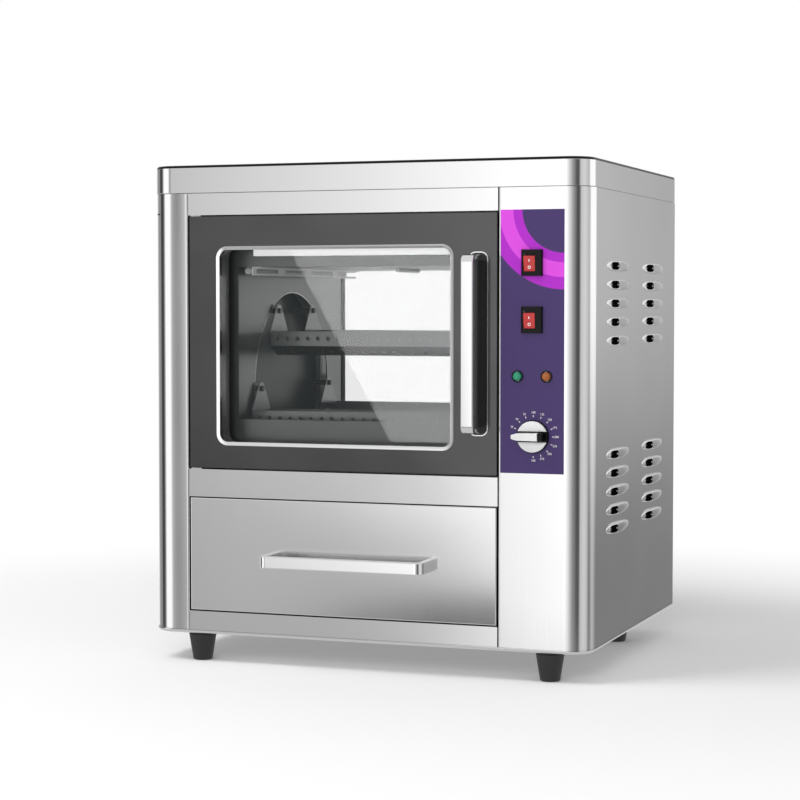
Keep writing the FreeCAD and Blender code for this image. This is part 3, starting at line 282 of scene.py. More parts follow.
def steel(name, colour, roughness, grain_axis="Z", grain=0.02, form=None):
    """Brushed steel: noise drawn out along the grain moves the roughness and the bump a little.

    A form is a function of (x, y, z) in metres for a sheet's slow unevenness, in metres of height.
    """
    material, graph = finish(name)
    place = graph.node("TexCoord", None, None, "Object")
    stretch = [GRAIN_LONG if axis == grain_axis else GRAIN_FINE for axis in "XYZ"]
    drawn = graph.node("Mapping", None, {"Vector": place, "Scale": stretch})
    lines = graph.node("TexNoise", None, {"Vector": drawn, "Scale": 1.0, "Detail": 3.0, "Roughness": 0.6})
    broad = graph.node("TexNoise", None, {"Vector": place, "Scale": 7.0, "Detail": 1.0})
    rough = roughness + (lines - 0.5) * grain * 2 + (broad - 0.5) * GLOSS_DRIFT
    bump = graph.node("Bump", None, {"Strength": 0.35, "Distance": 1.0, "Height": lines * GRAIN_HEIGHT})
    if form:
        bump = graph.node("Bump", None, {
            "Strength": 1.0, "Distance": 1.0, "Height": form(*graph.axes(place)), "Normal": bump})
    skin = graph.node("BsdfPrincipled", None, {
        "Base Color": (*colour, 1), "Metallic": 1.0, "Roughness": rough, "Normal": bump})
    graph.node("OutputMaterial", None, {0: skin})
    return material


casing_steel = steel("satin_casing_steel", (0.80, 0.80, 0.80), 0.13)
# The lining's dark grey is painted shade: the casing's steel, darkened for the inside of the cavity.
lining_steel_painted_shade = steel("lining_steel_painted_shade", (0.20, 0.20, 0.20), 0.30, grain_axis="X")


def dress(material, *names):
    """Give CAD nodes a finish."""
    for name in names:
        for holder in node[name].material_slots:
            holder.material = material


# Top cover: a tray of steel sheet pressed upside down over the body, with round front corners and a
# rolled upper edge, along which a thin black band is painted as a dark reflection on the roll.
# Its lower rim is folded under.
SHEET = 1.2
CORNER = 35
EDGE = 4
FLAT_STARTS = 4
WALL_ENDS = 1
DARK_REFLECTION_ROWS = range(7, 11)
LEFT_FACE, FRONT_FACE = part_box("left_side_panel")[0][:2]


def span(name):
    """A node's lowest and highest corners in millimetres from the cabinet's left face, front and floor."""
    return [(np.array(corner) - (LEFT_FACE, FRONT_FACE, 0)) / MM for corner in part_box(name)]


def in_frame(points):
    """Cabinet millimetres to the frame's metres."""
    return points * MM + (LEFT_FACE, FRONT_FACE, 0)


def arc(centre, radius, start, end, steps=6):
    """Points on a circle between two angles in degrees."""
    turn = np.radians(np.linspace(start, end, steps + 1))
    return np.stack([centre[0] + radius * np.cos(turn), centre[1] + radius * np.sin(turn)], axis=-1)


def rounded(low, high, radii, inset=0.0, steps=10):
    """A rounded rectangle drawn inwards by an inset: each corner is an arc of radius less inset."""
    corners = []
    for (i, j, start), radius in zip(((0, 0, 180), (1, 0, 270), (1, 1, 0), (0, 1, 90)), radii):
        away = max(radius, inset)
        centre = (high[0] - away if i else low[0] + away, high[1] - away if j else low[1] + away)
        corners.append(arc(centre, max(radius - inset, 0), start, start + 90, steps))
    return np.vstack(corners)


def dished(low, high, radii, profile, order=(0, 1, 2)):
    """Rings of a rounded rectangle, one for each (inset, height) of a profile, their axes ordered."""
    rings = []
    for inset, height in profile:
        ring = rounded(low, high, radii, inset)
        rings.append(np.column_stack([ring, np.full(len(ring), height)])[:, order])
    return np.array(rings)


def piece(name, mesh, body, slot, material, *replaced, closed=True, crease=38):
    """A finished piece from a mesh in cabinet millimetres: welded, smooth but for its sharp folds."""
    work = bmesh.new()
    work.from_mesh(mesh)
    bmesh.ops.remove_doubles(work, verts=work.verts, dist=0.001)
    bmesh.ops.dissolve_degenerate(work, edges=work.edges, dist=0.001)
    if closed:
        bmesh.ops.recalc_face_normals(work, faces=work.faces)
    work.to_mesh(mesh)
    work.free()
    places = np.empty(len(mesh.vertices) * 3)
    mesh.vertices.foreach_get("co", places)
    mesh.vertices.foreach_set("co", in_frame(places.reshape(-1, 3)).ravel())
    mesh.shade_smooth()
    mesh.set_sharp_from_angle(angle=math.radians(crease))
    item = bpy.data.objects.new(name, mesh)
    bpy.context.scene.collection.objects.link(item)
    if material:
        mesh.materials.append(material)
    evened = item.modifiers.new("evened", "WEIGHTED_NORMAL")
    evened.weight = 100
    evened.keep_sharp = True
    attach(item, body)
    if replaced:
        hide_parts(*replaced)
    return item


def two_finishes(mesh, marked, first, second):
    """Two materials on one mesh: the second goes on the faces marked with 1."""
    mesh.polygons.foreach_set("material_index", np.array(marked, int))
    mesh.materials.append(first)
    mesh.materials.append(second)


low, high = span("top_cover")
half_depth = (high[1] - low[1]) / 2
profile = [(half_depth, high[2] - SHEET), (EDGE, high[2] - SHEET), (SHEET, high[2] - EDGE),
           (SHEET, low[2] + SHEET / 2), (SHEET / 2, low[2]), (0, low[2] + SHEET / 2),
           (0, high[2] - EDGE - WALL_ENDS),
           *((EDGE - a, high[2] - EDGE + b) for a, b in arc((0, 0), EDGE, 0, 90)),
           (EDGE + FLAT_STARTS, high[2]), (half_depth, high[2])]
rings = dished(low, high, (CORNER, CORNER, EDGE, EDGE), profile)
mesh = mesh_of("top_cover_pressing", grid(rings, close_columns=True))
# The rolled edge's marked rows get a black steel: a painted dark reflection, not a seam.
two_finishes(mesh, np.repeat([row in DARK_REFLECTION_ROWS for row in range(len(rings) - 1)], rings.shape[1]),
             casing_steel, steel("edge_painted_dark_reflection", (0.02, 0.02, 0.02), 0.4))
piece("top_cover_pressing", mesh, "root", "cover_steel", None, "top_cover")


# Left column: sheet bent round the front corner, with a rolled fold beside the door. Its front
# face turns back in a slow curve, and a short slit crosses its corner under the cover; the shade
# in the slit is painted as a thin black strip standing just proud of the sheet.
FOLD = 3
RETURN = 18
SOFT = 23
SOFT_RADIUS = 330
SLIT = 1.6
SLIT_DROP = 27
SLIT_RUN = (0.4, 15)
SLIT_PROUD = 0.3
# A black steel for painted shade in openings: the left column's slit and the louvre mouths.
painted_shade_black = steel("opening_painted_shade_black", (0.010, 0.010, 0.010), 0.6)


def bent_path(*corners, steps=12):
    """An open path through (x, y, radius) corners, each rounded by an arc that meets both runs."""
    path = [np.array([corners[0][:2]])]
    for before, corner, after in zip(corners, corners[1:], corners[2:]):
        here = np.array(corner[:2])
        back = (np.array(before[:2]) - here) / np.linalg.norm(np.subtract(before[:2], here))
        on = (np.array(after[:2]) - here) / np.linalg.norm(np.subtract(after[:2], here))
        centre = here + (back + on) * corner[2]
        turn = np.linspace(0, np.pi / 2, steps + 1)[:, None]
        path.append(centre - corner[2] * (on * np.cos(turn) + back * np.sin(turn)))
    return np.vstack(path + [np.array([corners[-1][:2]])])


def column(name, path, low, high, open_run, *replaced):
    """A bent sheet column: its plan path and the same path one sheet further in, carried straight up.

    An open run leaves the longest stretch of the outer face out, where another sheet takes its place.
    """
    way = np.gradient(path, axis=0)
    way[[0, -1]] = path[1] - path[0], path[-1] - path[-2]
    way /= np.linalg.norm(way, axis=1)[:, None]
    inner = path + np.stack([way[:, 1], -way[:, 0]], axis=-1) * SHEET
    loop = np.vstack([path, inner[::-1]])
    walls = [np.column_stack([loop, np.full(len(loop), z)]) for z in (low, high)]
    wall_points, wall_quads = grid(np.array(walls), False, True)
    run = np.linalg.norm(np.diff(path, axis=0), axis=1).argmax()
    wall_quads = np.delete(wall_quads, run if open_run else [], axis=0)
    caps = [grid(np.array([np.column_stack([side, np.full(len(side), z)]) for side in (path, inner)]))
            for z in (low, high)]
    mesh = mesh_of(name, (wall_points, wall_quads), *caps)
    return piece(name, mesh, "root", "body_steel", casing_steel, *replaced)


low, high = span("left_side_panel")
slope = math.asin(SOFT / SOFT_RADIUS)
soft = high[0] - FOLD - np.linspace(0, SOFT, 9)
bend = soft[-1] / (1 - math.sin(slope))
dip = SOFT ** 2 / SOFT_RADIUS / 2
corner = arc((bend, dip + bend * math.cos(slope)), bend, 270 - math.degrees(slope), 180, 24)
column("left_column", np.vstack([
    [(high[0], RETURN)], arc((high[0] - FOLD, FOLD), FOLD, 0, -90, 6),
    np.column_stack([soft, (soft[0] - soft) ** 2 / SOFT_RADIUS / 2])[1:], corner[1:],
    arc((EDGE, high[1] - EDGE), EDGE, 180, 90, 6), [(high[0], high[1]), (high[0], high[1] - RETURN)]]),
    low[2], high[2], False, "left_side_panel")
slit_path = corner[(corner[:, 0] > SLIT_RUN[0]) & (corner[:, 0] < SLIT_RUN[1])]
slit_out = slit_path + (slit_path - (bend, dip + bend * math.cos(slope))) * (SLIT_PROUD / bend)
slit_loop = np.vstack([slit_path, slit_out[::-1]])
slit_centre = slit_loop * 0 + slit_loop.mean(axis=0)
slit_rows = [np.column_stack([loop, np.full(len(loop), high[2] - SLIT_DROP - drop)]) for loop, drop in (
    (slit_centre, 0), (slit_loop, 0), (slit_loop, SLIT), (slit_centre, SLIT))]
piece("left_column_slit_painted_shade", mesh_of("left_column_slit_painted_shade", grid(np.array(slit_rows), False, True)), "root",
      "body_steel", painted_shade_black)


# Right column: the same sheet round the control panel's side. It carries four groups of five
# louvres, each a pressed hood that rises from the sheet to a mouth near its front end, whose inside
# is painted black as the shade within it.
LOUVRE_LENGTH = 124
LOUVRE_HALF = 7
LOUVRE_POWER = 2.6
LOUVRE_SKIRT = (1.004, 1.06)
LOUVRE_SKIRT_BACK = 0.25
LOUVRE_FRONTS = (91.5, 295.5)
LOUVRE_PITCH = 25.6
LOUVRE_TOPS = (557.5, 299.7)
LOUVRES = 5
MOUTH = 30
MOUTH_LONG = 16.5
MOUTH_TALL = 5.4
MOUTH_DEEP = -5
MOUTH_POWER = 0.3
LIP = 2.6
CREST_PLACES = (0, 14, MOUTH + MOUTH_LONG, LOUVRE_LENGTH)
CREST_HEIGHTS = (0.6, 1.1, 5.7, 4.7)
CELL_MARGIN = 5
CELL_STEPS = 48
HOOD_RINGS = 10
REAR_FOLD = 0.1
low, high = span("right_side_panel")
face = span("base_pan")[1][0]
path = bent_path((low[0], high[1] - RETURN, 0), (low[0], high[1], REAR_FOLD), (face, high[1], EDGE),
                 (face, 0, CORNER), (low[0], 0, FOLD), (low[0], RETURN, 0))
column("right_column", path, low[2], high[2], True, "right_side_panel")


def louvre_cell(front, level):
    """One louvre in its rectangle of side sheet, as rings from the rectangle in to the mouth's floor.

    The outer ring is the rectangle, the next the louvre's outline |c|^2.6 + |s|^2.6 = 1, and from it
    the rings close in a straight line to the mouth, t going from 0 to 1: an ellipse in front, c^0.3
    behind. The height is the crest at that place times sqrt(1 - (1 - t)^3), and the crest climbs to the
    mouth's far lip, then falls slowly.
    """
    turn = np.linspace(0, 2 * np.pi, CELL_STEPS, endpoint=False)
    c, s = np.cos(turn), np.sin(turn)
    reach = np.maximum(np.abs(c), np.abs(s))
    middle = LOUVRE_LENGTH / 2
    outline = np.stack([middle + middle * np.sign(c) * np.abs(c) ** (2 / LOUVRE_POWER),
                        LOUVRE_HALF * np.sign(s) * np.abs(s) ** (2 / LOUVRE_POWER)], axis=-1)
    along = np.where(c > 0, np.abs(c) ** MOUTH_POWER, c)
    mouth = np.stack([MOUTH + MOUTH_LONG * along, MOUTH_TALL * s], axis=-1)
    frame_ring = np.stack([middle + (middle + CELL_MARGIN) * c / reach,
                           LOUVRE_PITCH / 2 * s / reach], axis=-1)
    t = (1 - np.cos(np.linspace(0, np.pi / 2, HOOD_RINGS)))[:, None]
    rings = outline + (mouth - outline) * t[..., None]
    crest = np.interp(rings[..., 0], CREST_PLACES, CREST_HEIGHTS)
    heights = crest * np.sqrt(1 - (1 - t) ** 3)
    lip = heights[-1]
    levels = [0 * lip, 0 * lip, *heights, lip - LIP, 0 * lip + MOUTH_DEEP, 0 * lip + MOUTH_DEEP]
    skirt = outline * LOUVRE_SKIRT - (LOUVRE_SKIRT_BACK, 0)
    places = [frame_ring, skirt, *rings, mouth, mouth, mouth * 0 + (MOUTH, 0)]
    points = np.array([np.column_stack([face + height, front + place[:, 0], level + place[:, 1]])
                       for height, place in zip(levels, places)])
    return grid(points, False, True)


def side_strip(ys, zs):
    """A flat rectangle of the right side."""
    y, z = np.meshgrid(ys, zs)
    return grid(np.stack([0 * y + face, y, z], axis=-1))


cells, plain = [], []
inner_front, inner_back = CORNER, high[1] - EDGE
edges = [inner_front]
for front in LOUVRE_FRONTS:
    plain.append(side_strip((edges[-1], front - CELL_MARGIN), (low[2], high[2])))
    edges.append(front + LOUVRE_LENGTH + CELL_MARGIN)
    ends = [low[2]]
    for top in reversed(LOUVRE_TOPS):
        ends += [top - (LOUVRES - 0.5) * LOUVRE_PITCH, top + 0.5 * LOUVRE_PITCH]
        cells += [louvre_cell(front, top - LOUVRE_PITCH * row) for row in range(LOUVRES)]
    ends.append(high[2])
    plain += [side_strip((front - CELL_MARGIN, edges[-1]), ends[i:i + 2]) for i in (0, 2, 4)]
plain.append(side_strip((edges[-1], inner_back), (low[2], high[2])))
mesh = mesh_of("right_side_louvres", *cells, *plain)
# The last two rows of each louvre, the mouth's inner wall and floor, are painted black as shade.
painted_shade_rows = np.repeat([0] * (HOOD_RINGS + 2) + [1, 1], CELL_STEPS)
light = np.zeros(len(mesh.polygons) - len(cells) * len(painted_shade_rows))
two_finishes(mesh, np.concatenate([np.tile(painted_shade_rows, len(cells)), light]), casing_steel, painted_shade_black)
piece("right_side_louvres", mesh, "root", "body_steel", None, closed=False, crease=50)


# Drawer front, rails and lining: flat sheets that keep the shapes of their solids. The drawer
# front is very slightly hollow, which bends what it reflects.
DRAWER_HOLLOW = 0.26
DRAWER_LEAN = 0.03


def drawer_form(x, y, z):
    """The drawer front is pressed a little hollow towards its lower right corner."""
    low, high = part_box("drawer_front")
    share = ((x - low[0]) / (high[0] - low[0])).span(0.05, 0.95)
    drop = (z * -1) + high[2]
    return share * drop * (drop * -DRAWER_HOLLOW + DRAWER_LEAN)


drawer_steel = steel("drawer_steel", (0.80, 0.80, 0.80), 0.15, form=drawer_form)
dress(drawer_steel, "drawer_front")
dress(casing_steel, "base_pan", "top_rail", "mid_rail", "bottom_rail", "rear_panel")
dress(lining_steel_painted_shade, "left_partition", "right_partition", "cavity_front_frame", "cavity_left_wall",
      "cavity_right_wall", "cavity_ceiling", "cavity_floor", "rear_frame", "drawer_box")


# Door: a glossy dark grey enamelled face with a bright trim round its window, a folded frame behind
# it, and a clear pane in a black silicone gasket. The pane alone mirrors a tall panel at the front
# left, as a slanting sheen over its right half.
DOOR_ROUND = 2
DOOR_EASE = 1
DOOR_FLAT_STARTS = 1.5
BACK_EASE = 0.2
WINDOW_ROUND = 15
WINDOW_EDGE = 3
TRIM_SECTION = ((-2, 0), (-1.4, 0), (WINDOW_EDGE, 0.43), (WINDOW_EDGE + 0.5, 0.8), (WINDOW_EDGE + 0.6, 1.4))
TRIM_ROWS = 3
PANE_LAP = 10
SHEEN_Y = -1.3
SHEEN_SIZE = (0.5, 1.4)
SHEEN_WATTS = 40
SHEEN_EDGE = ((203.0, 576.0), (352.0, 312.0))


def coated(name, colour, roughness, speckle=400.0, bump=0.000004, coat=0.0, metallic=0.0, alpha=1.0,
           shine=0.5):
    """A coat or moulding: its colour and gloss drift a little, and its skin is faintly grained."""
    material, graph = finish(name)
    place = graph.node("TexCoord", None, None, "Object")
    drift = graph.node("TexNoise", None, {"Vector": place, "Scale": 9.0, "Detail": 2.0})
    skin = graph.node("TexNoise", None, {"Vector": place, "Scale": speckle, "Detail": 3.0})
    shades = [tuple(c * share for c in colour) for share in (0.9, 1.08)]
    tone = drift.ramp((0.3, shades[0]), (0.7, shades[1]))
    shader = graph.node("BsdfPrincipled", None, {
        "Base Color": tone, "Roughness": roughness + (drift - 0.5) * GLOSS_DRIFT, "Metallic": metallic,
        "Normal": graph.node("Bump", None, {"Strength": 0.5, "Distance": 1.0, "Height": skin * bump}),
        "Coat Weight": coat, "Coat Roughness": 0.05, "Alpha": alpha, "Specular IOR Level": shine})
    graph.node("OutputMaterial", None, {0: shader})
    return material


door_enamel = coated("door_enamel", (0.09, 0.09, 0.09), 0.10, speckle=300.0, bump=0.0, metallic=0.8)
low, high = span("door_panel")
glass_low, glass_high = span("window_glass")
window_low, window_high = glass_low + PANE_LAP, glass_high - PANE_LAP
back = high[1]
edge_section = [(BACK_EASE, back), (0, back - BACK_EASE),
                *((DOOR_EASE - a, DOOR_EASE - b) for a, b in arc((0, 0), DOOR_EASE, 0, 90, 3)),
                (DOOR_FLAT_STARTS, 0)]
window_section = [*TRIM_SECTION, (WINDOW_EDGE + 0.6, back - BACK_EASE), (WINDOW_EDGE + 0.4, back)]
outside = dished(low[[0, 2]], high[[0, 2]], (DOOR_ROUND,) * 4, edge_section, (0, 2, 1))
window = dished(window_low[[0, 2]], window_high[[0, 2]], (WINDOW_ROUND,) * 4, window_section, (0, 2, 1))
rings = np.concatenate([outside, window])
mesh = mesh_of("door_face", grid(rings, True, True))
trim_rows = range(len(outside) + 1, len(outside) + 1 + TRIM_ROWS)
two_finishes(mesh, np.repeat([row in trim_rows for row in range(len(rings))], rings.shape[1]),
             door_enamel, steel("window_trim", (0.85, 0.85, 0.85), 0.16))
piece("door_face", mesh, "door", "black_enamel", None, "door_panel")
dress(coated("window_liner_enamel", (0.16, 0.16, 0.16), 0.3, speckle=300.0, bump=0.000002, coat=0.2,
             metallic=0.6), "door_frame")
dress(coated("silicone_seal", (0.02, 0.02, 0.02), 0.55), "door_gasket")
dress(coated("window_pane", (0.03, 0.035, 0.035), 0.02, speckle=40.0, bump=0.0, alpha=0.11), "window_glass")
on_pane = in_frame(np.array([(x, glass_low[1], z) for x, z in SHEEN_EDGE]))
mirrored = np.array([CAMERA_PLACE[0], 2 * on_pane[0, 1] - CAMERA_PLACE[1], CAMERA_PLACE[2]])
edge = mirrored + (on_pane - mirrored) * (SHEEN_Y - mirrored[1]) / (on_pane[0, 1] - mirrored[1])
lean = math.atan2(edge[0, 0] - edge[1, 0], edge[0, 2] - edge[1, 2])
right = np.array([math.cos(lean), 0, -math.sin(lean)])
sheen = lamp("sheen", edge.mean(axis=0) + right * SHEEN_SIZE[0] / 2, on_pane[0], SHEEN_SIZE,
             SHEEN_WATTS, hidden=False)
sheen.rotation_euler = (math.pi / 2, lean, 0)
receivers = bpy.data.collections.new("sheen_receivers")
receivers.objects.link(node["window_glass"])
sheen.light_linking.receiver_collection = receivers
dress(coated("rear_pane", (0.4, 0.42, 0.42), 0.05, speckle=40.0, bump=0.0, alpha=0.01), "rear_glass")


# Handles: bright flat bars with eased edges, bent at both ends and screwed on from behind. Behind
# the door's pull a glossy black patch with a thin bright steel rim is laid on the door: a painted
# reflection of the pull in the enamel.
BAR = 8
BAR_EASE = 1.6
BAR_BEND = 7
PULL_LEAN = 0.08
PULL_REFLECTION_BEFORE = 1.5
PULL_REFLECTION_OVER = 9
PULL_REFLECTION_ENDS = 4
PULL_REFLECTION_ROUND = 10
PULL_REFLECTION_RIM = 1.3
PULL_REFLECTION_RIM_PROUD = -0.9
PULL_REFLECTION_PROUD = -0.6
PULL_REFLECTION_MIDDLE = 13
bright_bar = steel("bright_bar_steel", (0.86, 0.86, 0.86), 0.14, grain=0.01)
pull_steel = steel("drawer_pull_steel", (0.86, 0.86, 0.86), 0.14, grain_axis="X", grain=0.01,
                   form=lambda x, y, z: z * -PULL_LEAN)


def bent_bar(name, body, replaced, along, material):
    """A flat bar: a rounded section carried along a path of two square bends."""
    low, high = span(replaced)
    across = 2 - along
    width = high[across] - low[across]
    inner = BAR / 2
    path = bent_path((high[1], low[along] + inner, 0), (low[1] + inner, low[along] + inner, BAR_BEND),
                     (low[1] + inner, high[along] - inner, BAR_BEND), (high[1], high[along] - inner, 0))
    way = np.gradient(path, axis=0)
    way[0] = way[1]
    way[-1] = way[-2]
    way /= np.linalg.norm(way, axis=1)[:, None]
    normal = np.stack([-way[:, 1], way[:, 0]], axis=-1)
    section = rounded((-inner, -width / 2), (inner, width / 2), (BAR_EASE,) * 4, 0, 4)
    flat = path[:, None] + normal[:, None] * section[None, :, :1]
    points = np.empty((len(path), len(section), 3))
    points[..., 1] = flat[..., 0]
    points[..., along] = flat[..., 1]
    points[..., across] = (low[across] + high[across]) / 2 + section[None, :, 1]
    ends = [row.mean(axis=0) + 0 * row for row in (points[0], points[-1])]
    mesh = mesh_of(name, grid(np.concatenate([ends[:1], points, ends[1:]]), False, True))
    piece(name, mesh, body, "polished_steel", material, replaced)


bent_bar("door_pull", "door", "door_handle", 2, bright_bar)
low, high = span("door_handle")
# The black patch and its bright rim are a painted reflection of the pull's dark back and bright edge.
sides = (low[[0, 2]] - (PULL_REFLECTION_BEFORE, PULL_REFLECTION_ENDS), high[[0, 2]] + (PULL_REFLECTION_OVER, PULL_REFLECTION_ENDS))
rim, field = (
    dished(*sides, (PULL_REFLECTION_ROUND,) * 4, [(outer, 0), (outer, proud), (inner, proud), (inner, 0)], (0, 2, 1))
    for outer, inner, proud in ((0, PULL_REFLECTION_RIM, PULL_REFLECTION_RIM_PROUD), (PULL_REFLECTION_RIM, PULL_REFLECTION_MIDDLE, PULL_REFLECTION_PROUD)))
piece("pull_reflection_rim_painted", mesh_of("pull_reflection_rim_painted", grid(rim, True, True)), "door", "polished_steel",
      bright_bar)
piece("pull_reflection_painted", mesh_of("pull_reflection_painted", grid(field, True, True)), "door", "black_enamel",
      coated("pull_reflection_painted_black", (0.010, 0.010, 0.010), 0.15))
bent_bar("drawer_pull", "drawer", "drawer_handle", 0, pull_steel)


# Feet: tapered black rubber mouldings with an eased sole, and a shallow groove just under the
# cabinet's base.
FOOT_SOLE = 13.5
SOLE_FLAT_ENDS = 3
SOLE_EASE = (0.8, 0.4)
TAPER = (0.04, 0.93)
GROOVE = (0.94, 0.96, 0.97)
GROOVE_DEEP = 1.4
rubber = coated("foot_rubber_black", (0.018, 0.018, 0.018), 0.5, speckle=700.0, bump=0.00002)


def turned(profile, centre, axis, steps=40):
    """A profile of (radius, height) turned about one of the frame's axes through a centre."""
    turn = np.linspace(0, 2 * np.pi, steps, endpoint=False)
    radius, height = np.array(profile, float).T
    points = np.empty((len(profile), steps, 3))
    first, second = [i for i in range(3) if i != axis]
    points[..., first] = centre[first] + radius[:, None] * np.cos(turn)
    points[..., second] = centre[second] + radius[:, None] * np.sin(turn)
    points[..., axis] = centre[axis] + height[:, None]
    return grid(points, False, True)


for name in ("foot_front_left", "foot_front_right", "foot_rear_left", "foot_rear_right"):
    low, high = span(name)
    top = (high[0] - low[0]) / 2
    tall = high[2] - low[2]
    wall = [(FOOT_SOLE + (top - FOOT_SOLE) * t, tall * t) for t in np.linspace(*TAPER, 8)]
    profile = [(0, 0), (FOOT_SOLE - SOLE_FLAT_ENDS, 0), (FOOT_SOLE - SOLE_EASE[0], SOLE_EASE[1]), *wall,
               (top - GROOVE_DEEP, tall * GROOVE[0]), (top - GROOVE_DEEP, tall * GROOVE[1]),
               (top, tall * GROOVE[2]), (top, tall), (0, tall)]
    centre = ((low[0] + high[0]) / 2, (low[1] + high[1]) / 2, 0)
    piece(name + "_moulding", mesh_of(name + "_moulding", turned(profile, centre, 2)), "root",
          "foot_rubber", rubber, name)


# Trays: troughs folded from one perforated sheet, with a row of round holes in each wall and each
# slope, and triangular end plates that hang on the carousel's pins.
TRAYS = 6
TRAY_HALF = 32.5
TRAY_RIM = 30
TRAY_SIDE = 21
TRAY_SLOPE = 14
TRAY_FLAT = 5.5
TRAY_METAL = 1
HOLE_PITCH = 16
HOLES = 22
HOLE_RADIUS = 3.0
HOLE_SIDES = 16
SLOPE_HOLE = 0.62
HANGER_ABOVE = 9
HANGER_METAL = 1.2
slope_run = math.hypot(TRAY_HALF - TRAY_FLAT, TRAY_SLOPE)
fold_places = np.cumsum([0, TRAY_SIDE, slope_run, 2 * TRAY_FLAT, slope_run, TRAY_SIDE])
fold_y = (-TRAY_HALF, -TRAY_HALF, -TRAY_FLAT, TRAY_FLAT, TRAY_HALF, TRAY_HALF)
fold_z = (-TRAY_RIM, -TRAY_RIM - TRAY_SIDE, -TRAY_RIM - TRAY_SIDE - TRAY_SLOPE,
          -TRAY_RIM - TRAY_SIDE - TRAY_SLOPE, -TRAY_RIM - TRAY_SIDE, -TRAY_RIM)


def folded(x, t):
    """The flat sheet's place (x, t) folded into the trough: t runs from rim to rim across it."""
    return np.stack([x, np.interp(t, fold_places, fold_y), np.interp(t, fold_places, fold_z)], axis=-1)


def holed_strip(start, low, high, hole):
    """A strip of square cells, each with a round hole: rings that go from the square to the circle."""
    turn = np.radians(np.arange(HOLE_SIDES) * 360 / HOLE_SIDES)
    ray = np.stack([np.cos(turn), np.sin(turn)], axis=-1)
    edge = ray / np.abs(ray).max(axis=1)[:, None]
    square_x = edge[:, 0] * HOLE_PITCH / 2
    square_t = np.where(edge[:, 1] > 0, edge[:, 1] * (high - hole), edge[:, 1] * (hole - low))
    rings_x = np.stack([square_x, ray[:, 0] * HOLE_RADIUS])
    rings_t = np.stack([square_t, ray[:, 1] * HOLE_RADIUS])
    return [grid(folded(start + (i + 0.5) * HOLE_PITCH + rings_x, hole + rings_t), False, True)
            for i in range(HOLES)]


def tray_sheet(name, low, high, pivot):
    """The folded sheet of one tray, with plain ends beside the perforated length."""
    left, right = low[0], high[0]
    start = (left + right - HOLES * HOLE_PITCH) / 2
    strips = []
    slope_hole = SLOPE_HOLE * slope_run
    for first, last, hole in ((0, 1, TRAY_SIDE / 2), (1, 2, slope_hole), (3, 4, slope_run - slope_hole),
                              (4, 5, TRAY_SIDE / 2)):
        strips += holed_strip(start, fold_places[first], fold_places[last], fold_places[first] + hole)
    for ends in ((left, start), (start + HOLES * HOLE_PITCH, right)):
        x, t = np.meshgrid(ends, fold_places)
        strips.append(grid(folded(x, t)))
    x, t = np.meshgrid((start, start + HOLES * HOLE_PITCH), fold_places[2:4])
    strips.append(grid(folded(x, t)))
    return mesh_of(name, *((points + pivot, quads) for points, quads in strips))


# The trays' dark grey is painted shade: stainless steel darkened for the shade inside the cavity.
tray_steel = steel("tray_steel", (0.26, 0.26, 0.26), 0.30, grain_axis="X")
# The wheels' near-black is painted shade: steel darkened as it lies deeper in the cavity, behind the opening.
wheel_steel_painted_shade = steel("wheel_steel_painted_shade", (0.07, 0.07, 0.07), 0.34)
dress(wheel_steel_painted_shade, "wheel_left", "wheel_right")
hanger = [*zip(fold_y, fold_z), (8, 7), (5, HANGER_ABOVE), (-5, HANGER_ABOVE), (-8, 7)]


def plate_of(outline, low, high, order):
    """A flat plate: an outline of corners at two heights, closed by a fan over each face."""
    ring = np.array(outline, float)
    centre = ring.mean(axis=0) + 0 * ring
    rows = [np.column_stack([part, np.full(len(ring), level)])[:, order]
            for part, level in ((centre, low), (ring, low), (ring, high), (centre, high))]
    return grid(np.array(rows), False, True)


for i in range(1, TRAYS + 1):
    name = "tray_%d" % i
    low, high = span(name)
    pivot = np.array([0, (low[1] + high[1]) / 2, high[2] - HANGER_ABOVE])
    mesh = tray_sheet(name + "_trough", low, high, pivot)
    trough = piece(name + "_trough", mesh, name, "inner_steel", tray_steel, closed=False, crease=20)
    metal = trough.modifiers.new("metal", "SOLIDIFY")
    metal.thickness = TRAY_METAL * MM
    metal.offset = 1
    mesh.shade_flat()
    plates = []
    for left in (low[0], high[0] - HANGER_METAL):
        outline = np.array(hanger) + pivot[1:]
        plates.append(plate_of(outline, left, left + HANGER_METAL, (2, 0, 1)))
    piece(name + "_hangers", mesh_of(name + "_hangers", *plates), name, "inner_steel", tray_steel, name)


# Panel film: a dark purple film with pink and magenta rings round its upper right corner. The
# switches, the lamps and the knob stand on it.
FILM_PURPLE = (0.045, 0.022, 0.118)
FILM_MAGENTA = (0.40, 0.010, 0.52)
FILM_PINK = (0.66, 0.06, 0.68)
RING_REACH = 0.16
FILM_RINGS = ((0.0, FILM_PURPLE), (0.36, FILM_PURPLE), (0.361, FILM_MAGENTA), (0.44, FILM_MAGENTA),
              (0.441, FILM_PINK), (0.56, FILM_PINK), (0.561, FILM_MAGENTA), (0.66, FILM_MAGENTA),
              (0.661, FILM_PURPLE), (1.0, FILM_PURPLE))


def panel_film():
    """Purple film: distance from the upper right corner picks the plain ground or a coloured ring."""
    material, graph = finish("panel_film_purple")
    place = graph.node("TexCoord", None, None, "Object")
    x, z = graph.axes(place)[::2]
    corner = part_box("control_decal")[1]
    away = (((x - corner[0]) ** 2.0) + ((z - corner[2]) ** 2.0)) ** 0.5
    tone = (away / RING_REACH).ramp(*FILM_RINGS)
    skin = graph.node("TexNoise", None, {"Vector": place, "Scale": 900.0})
    graph.node("OutputMaterial", None, {0: graph.node("BsdfPrincipled", None, {
        "Base Color": tone, "Roughness": 0.42 + (skin - 0.5) * 0.1,
        "Normal": graph.node("Bump", None, {"Strength": 0.3, "Distance": 1.0, "Height": skin * 0.000004})})})
    return material


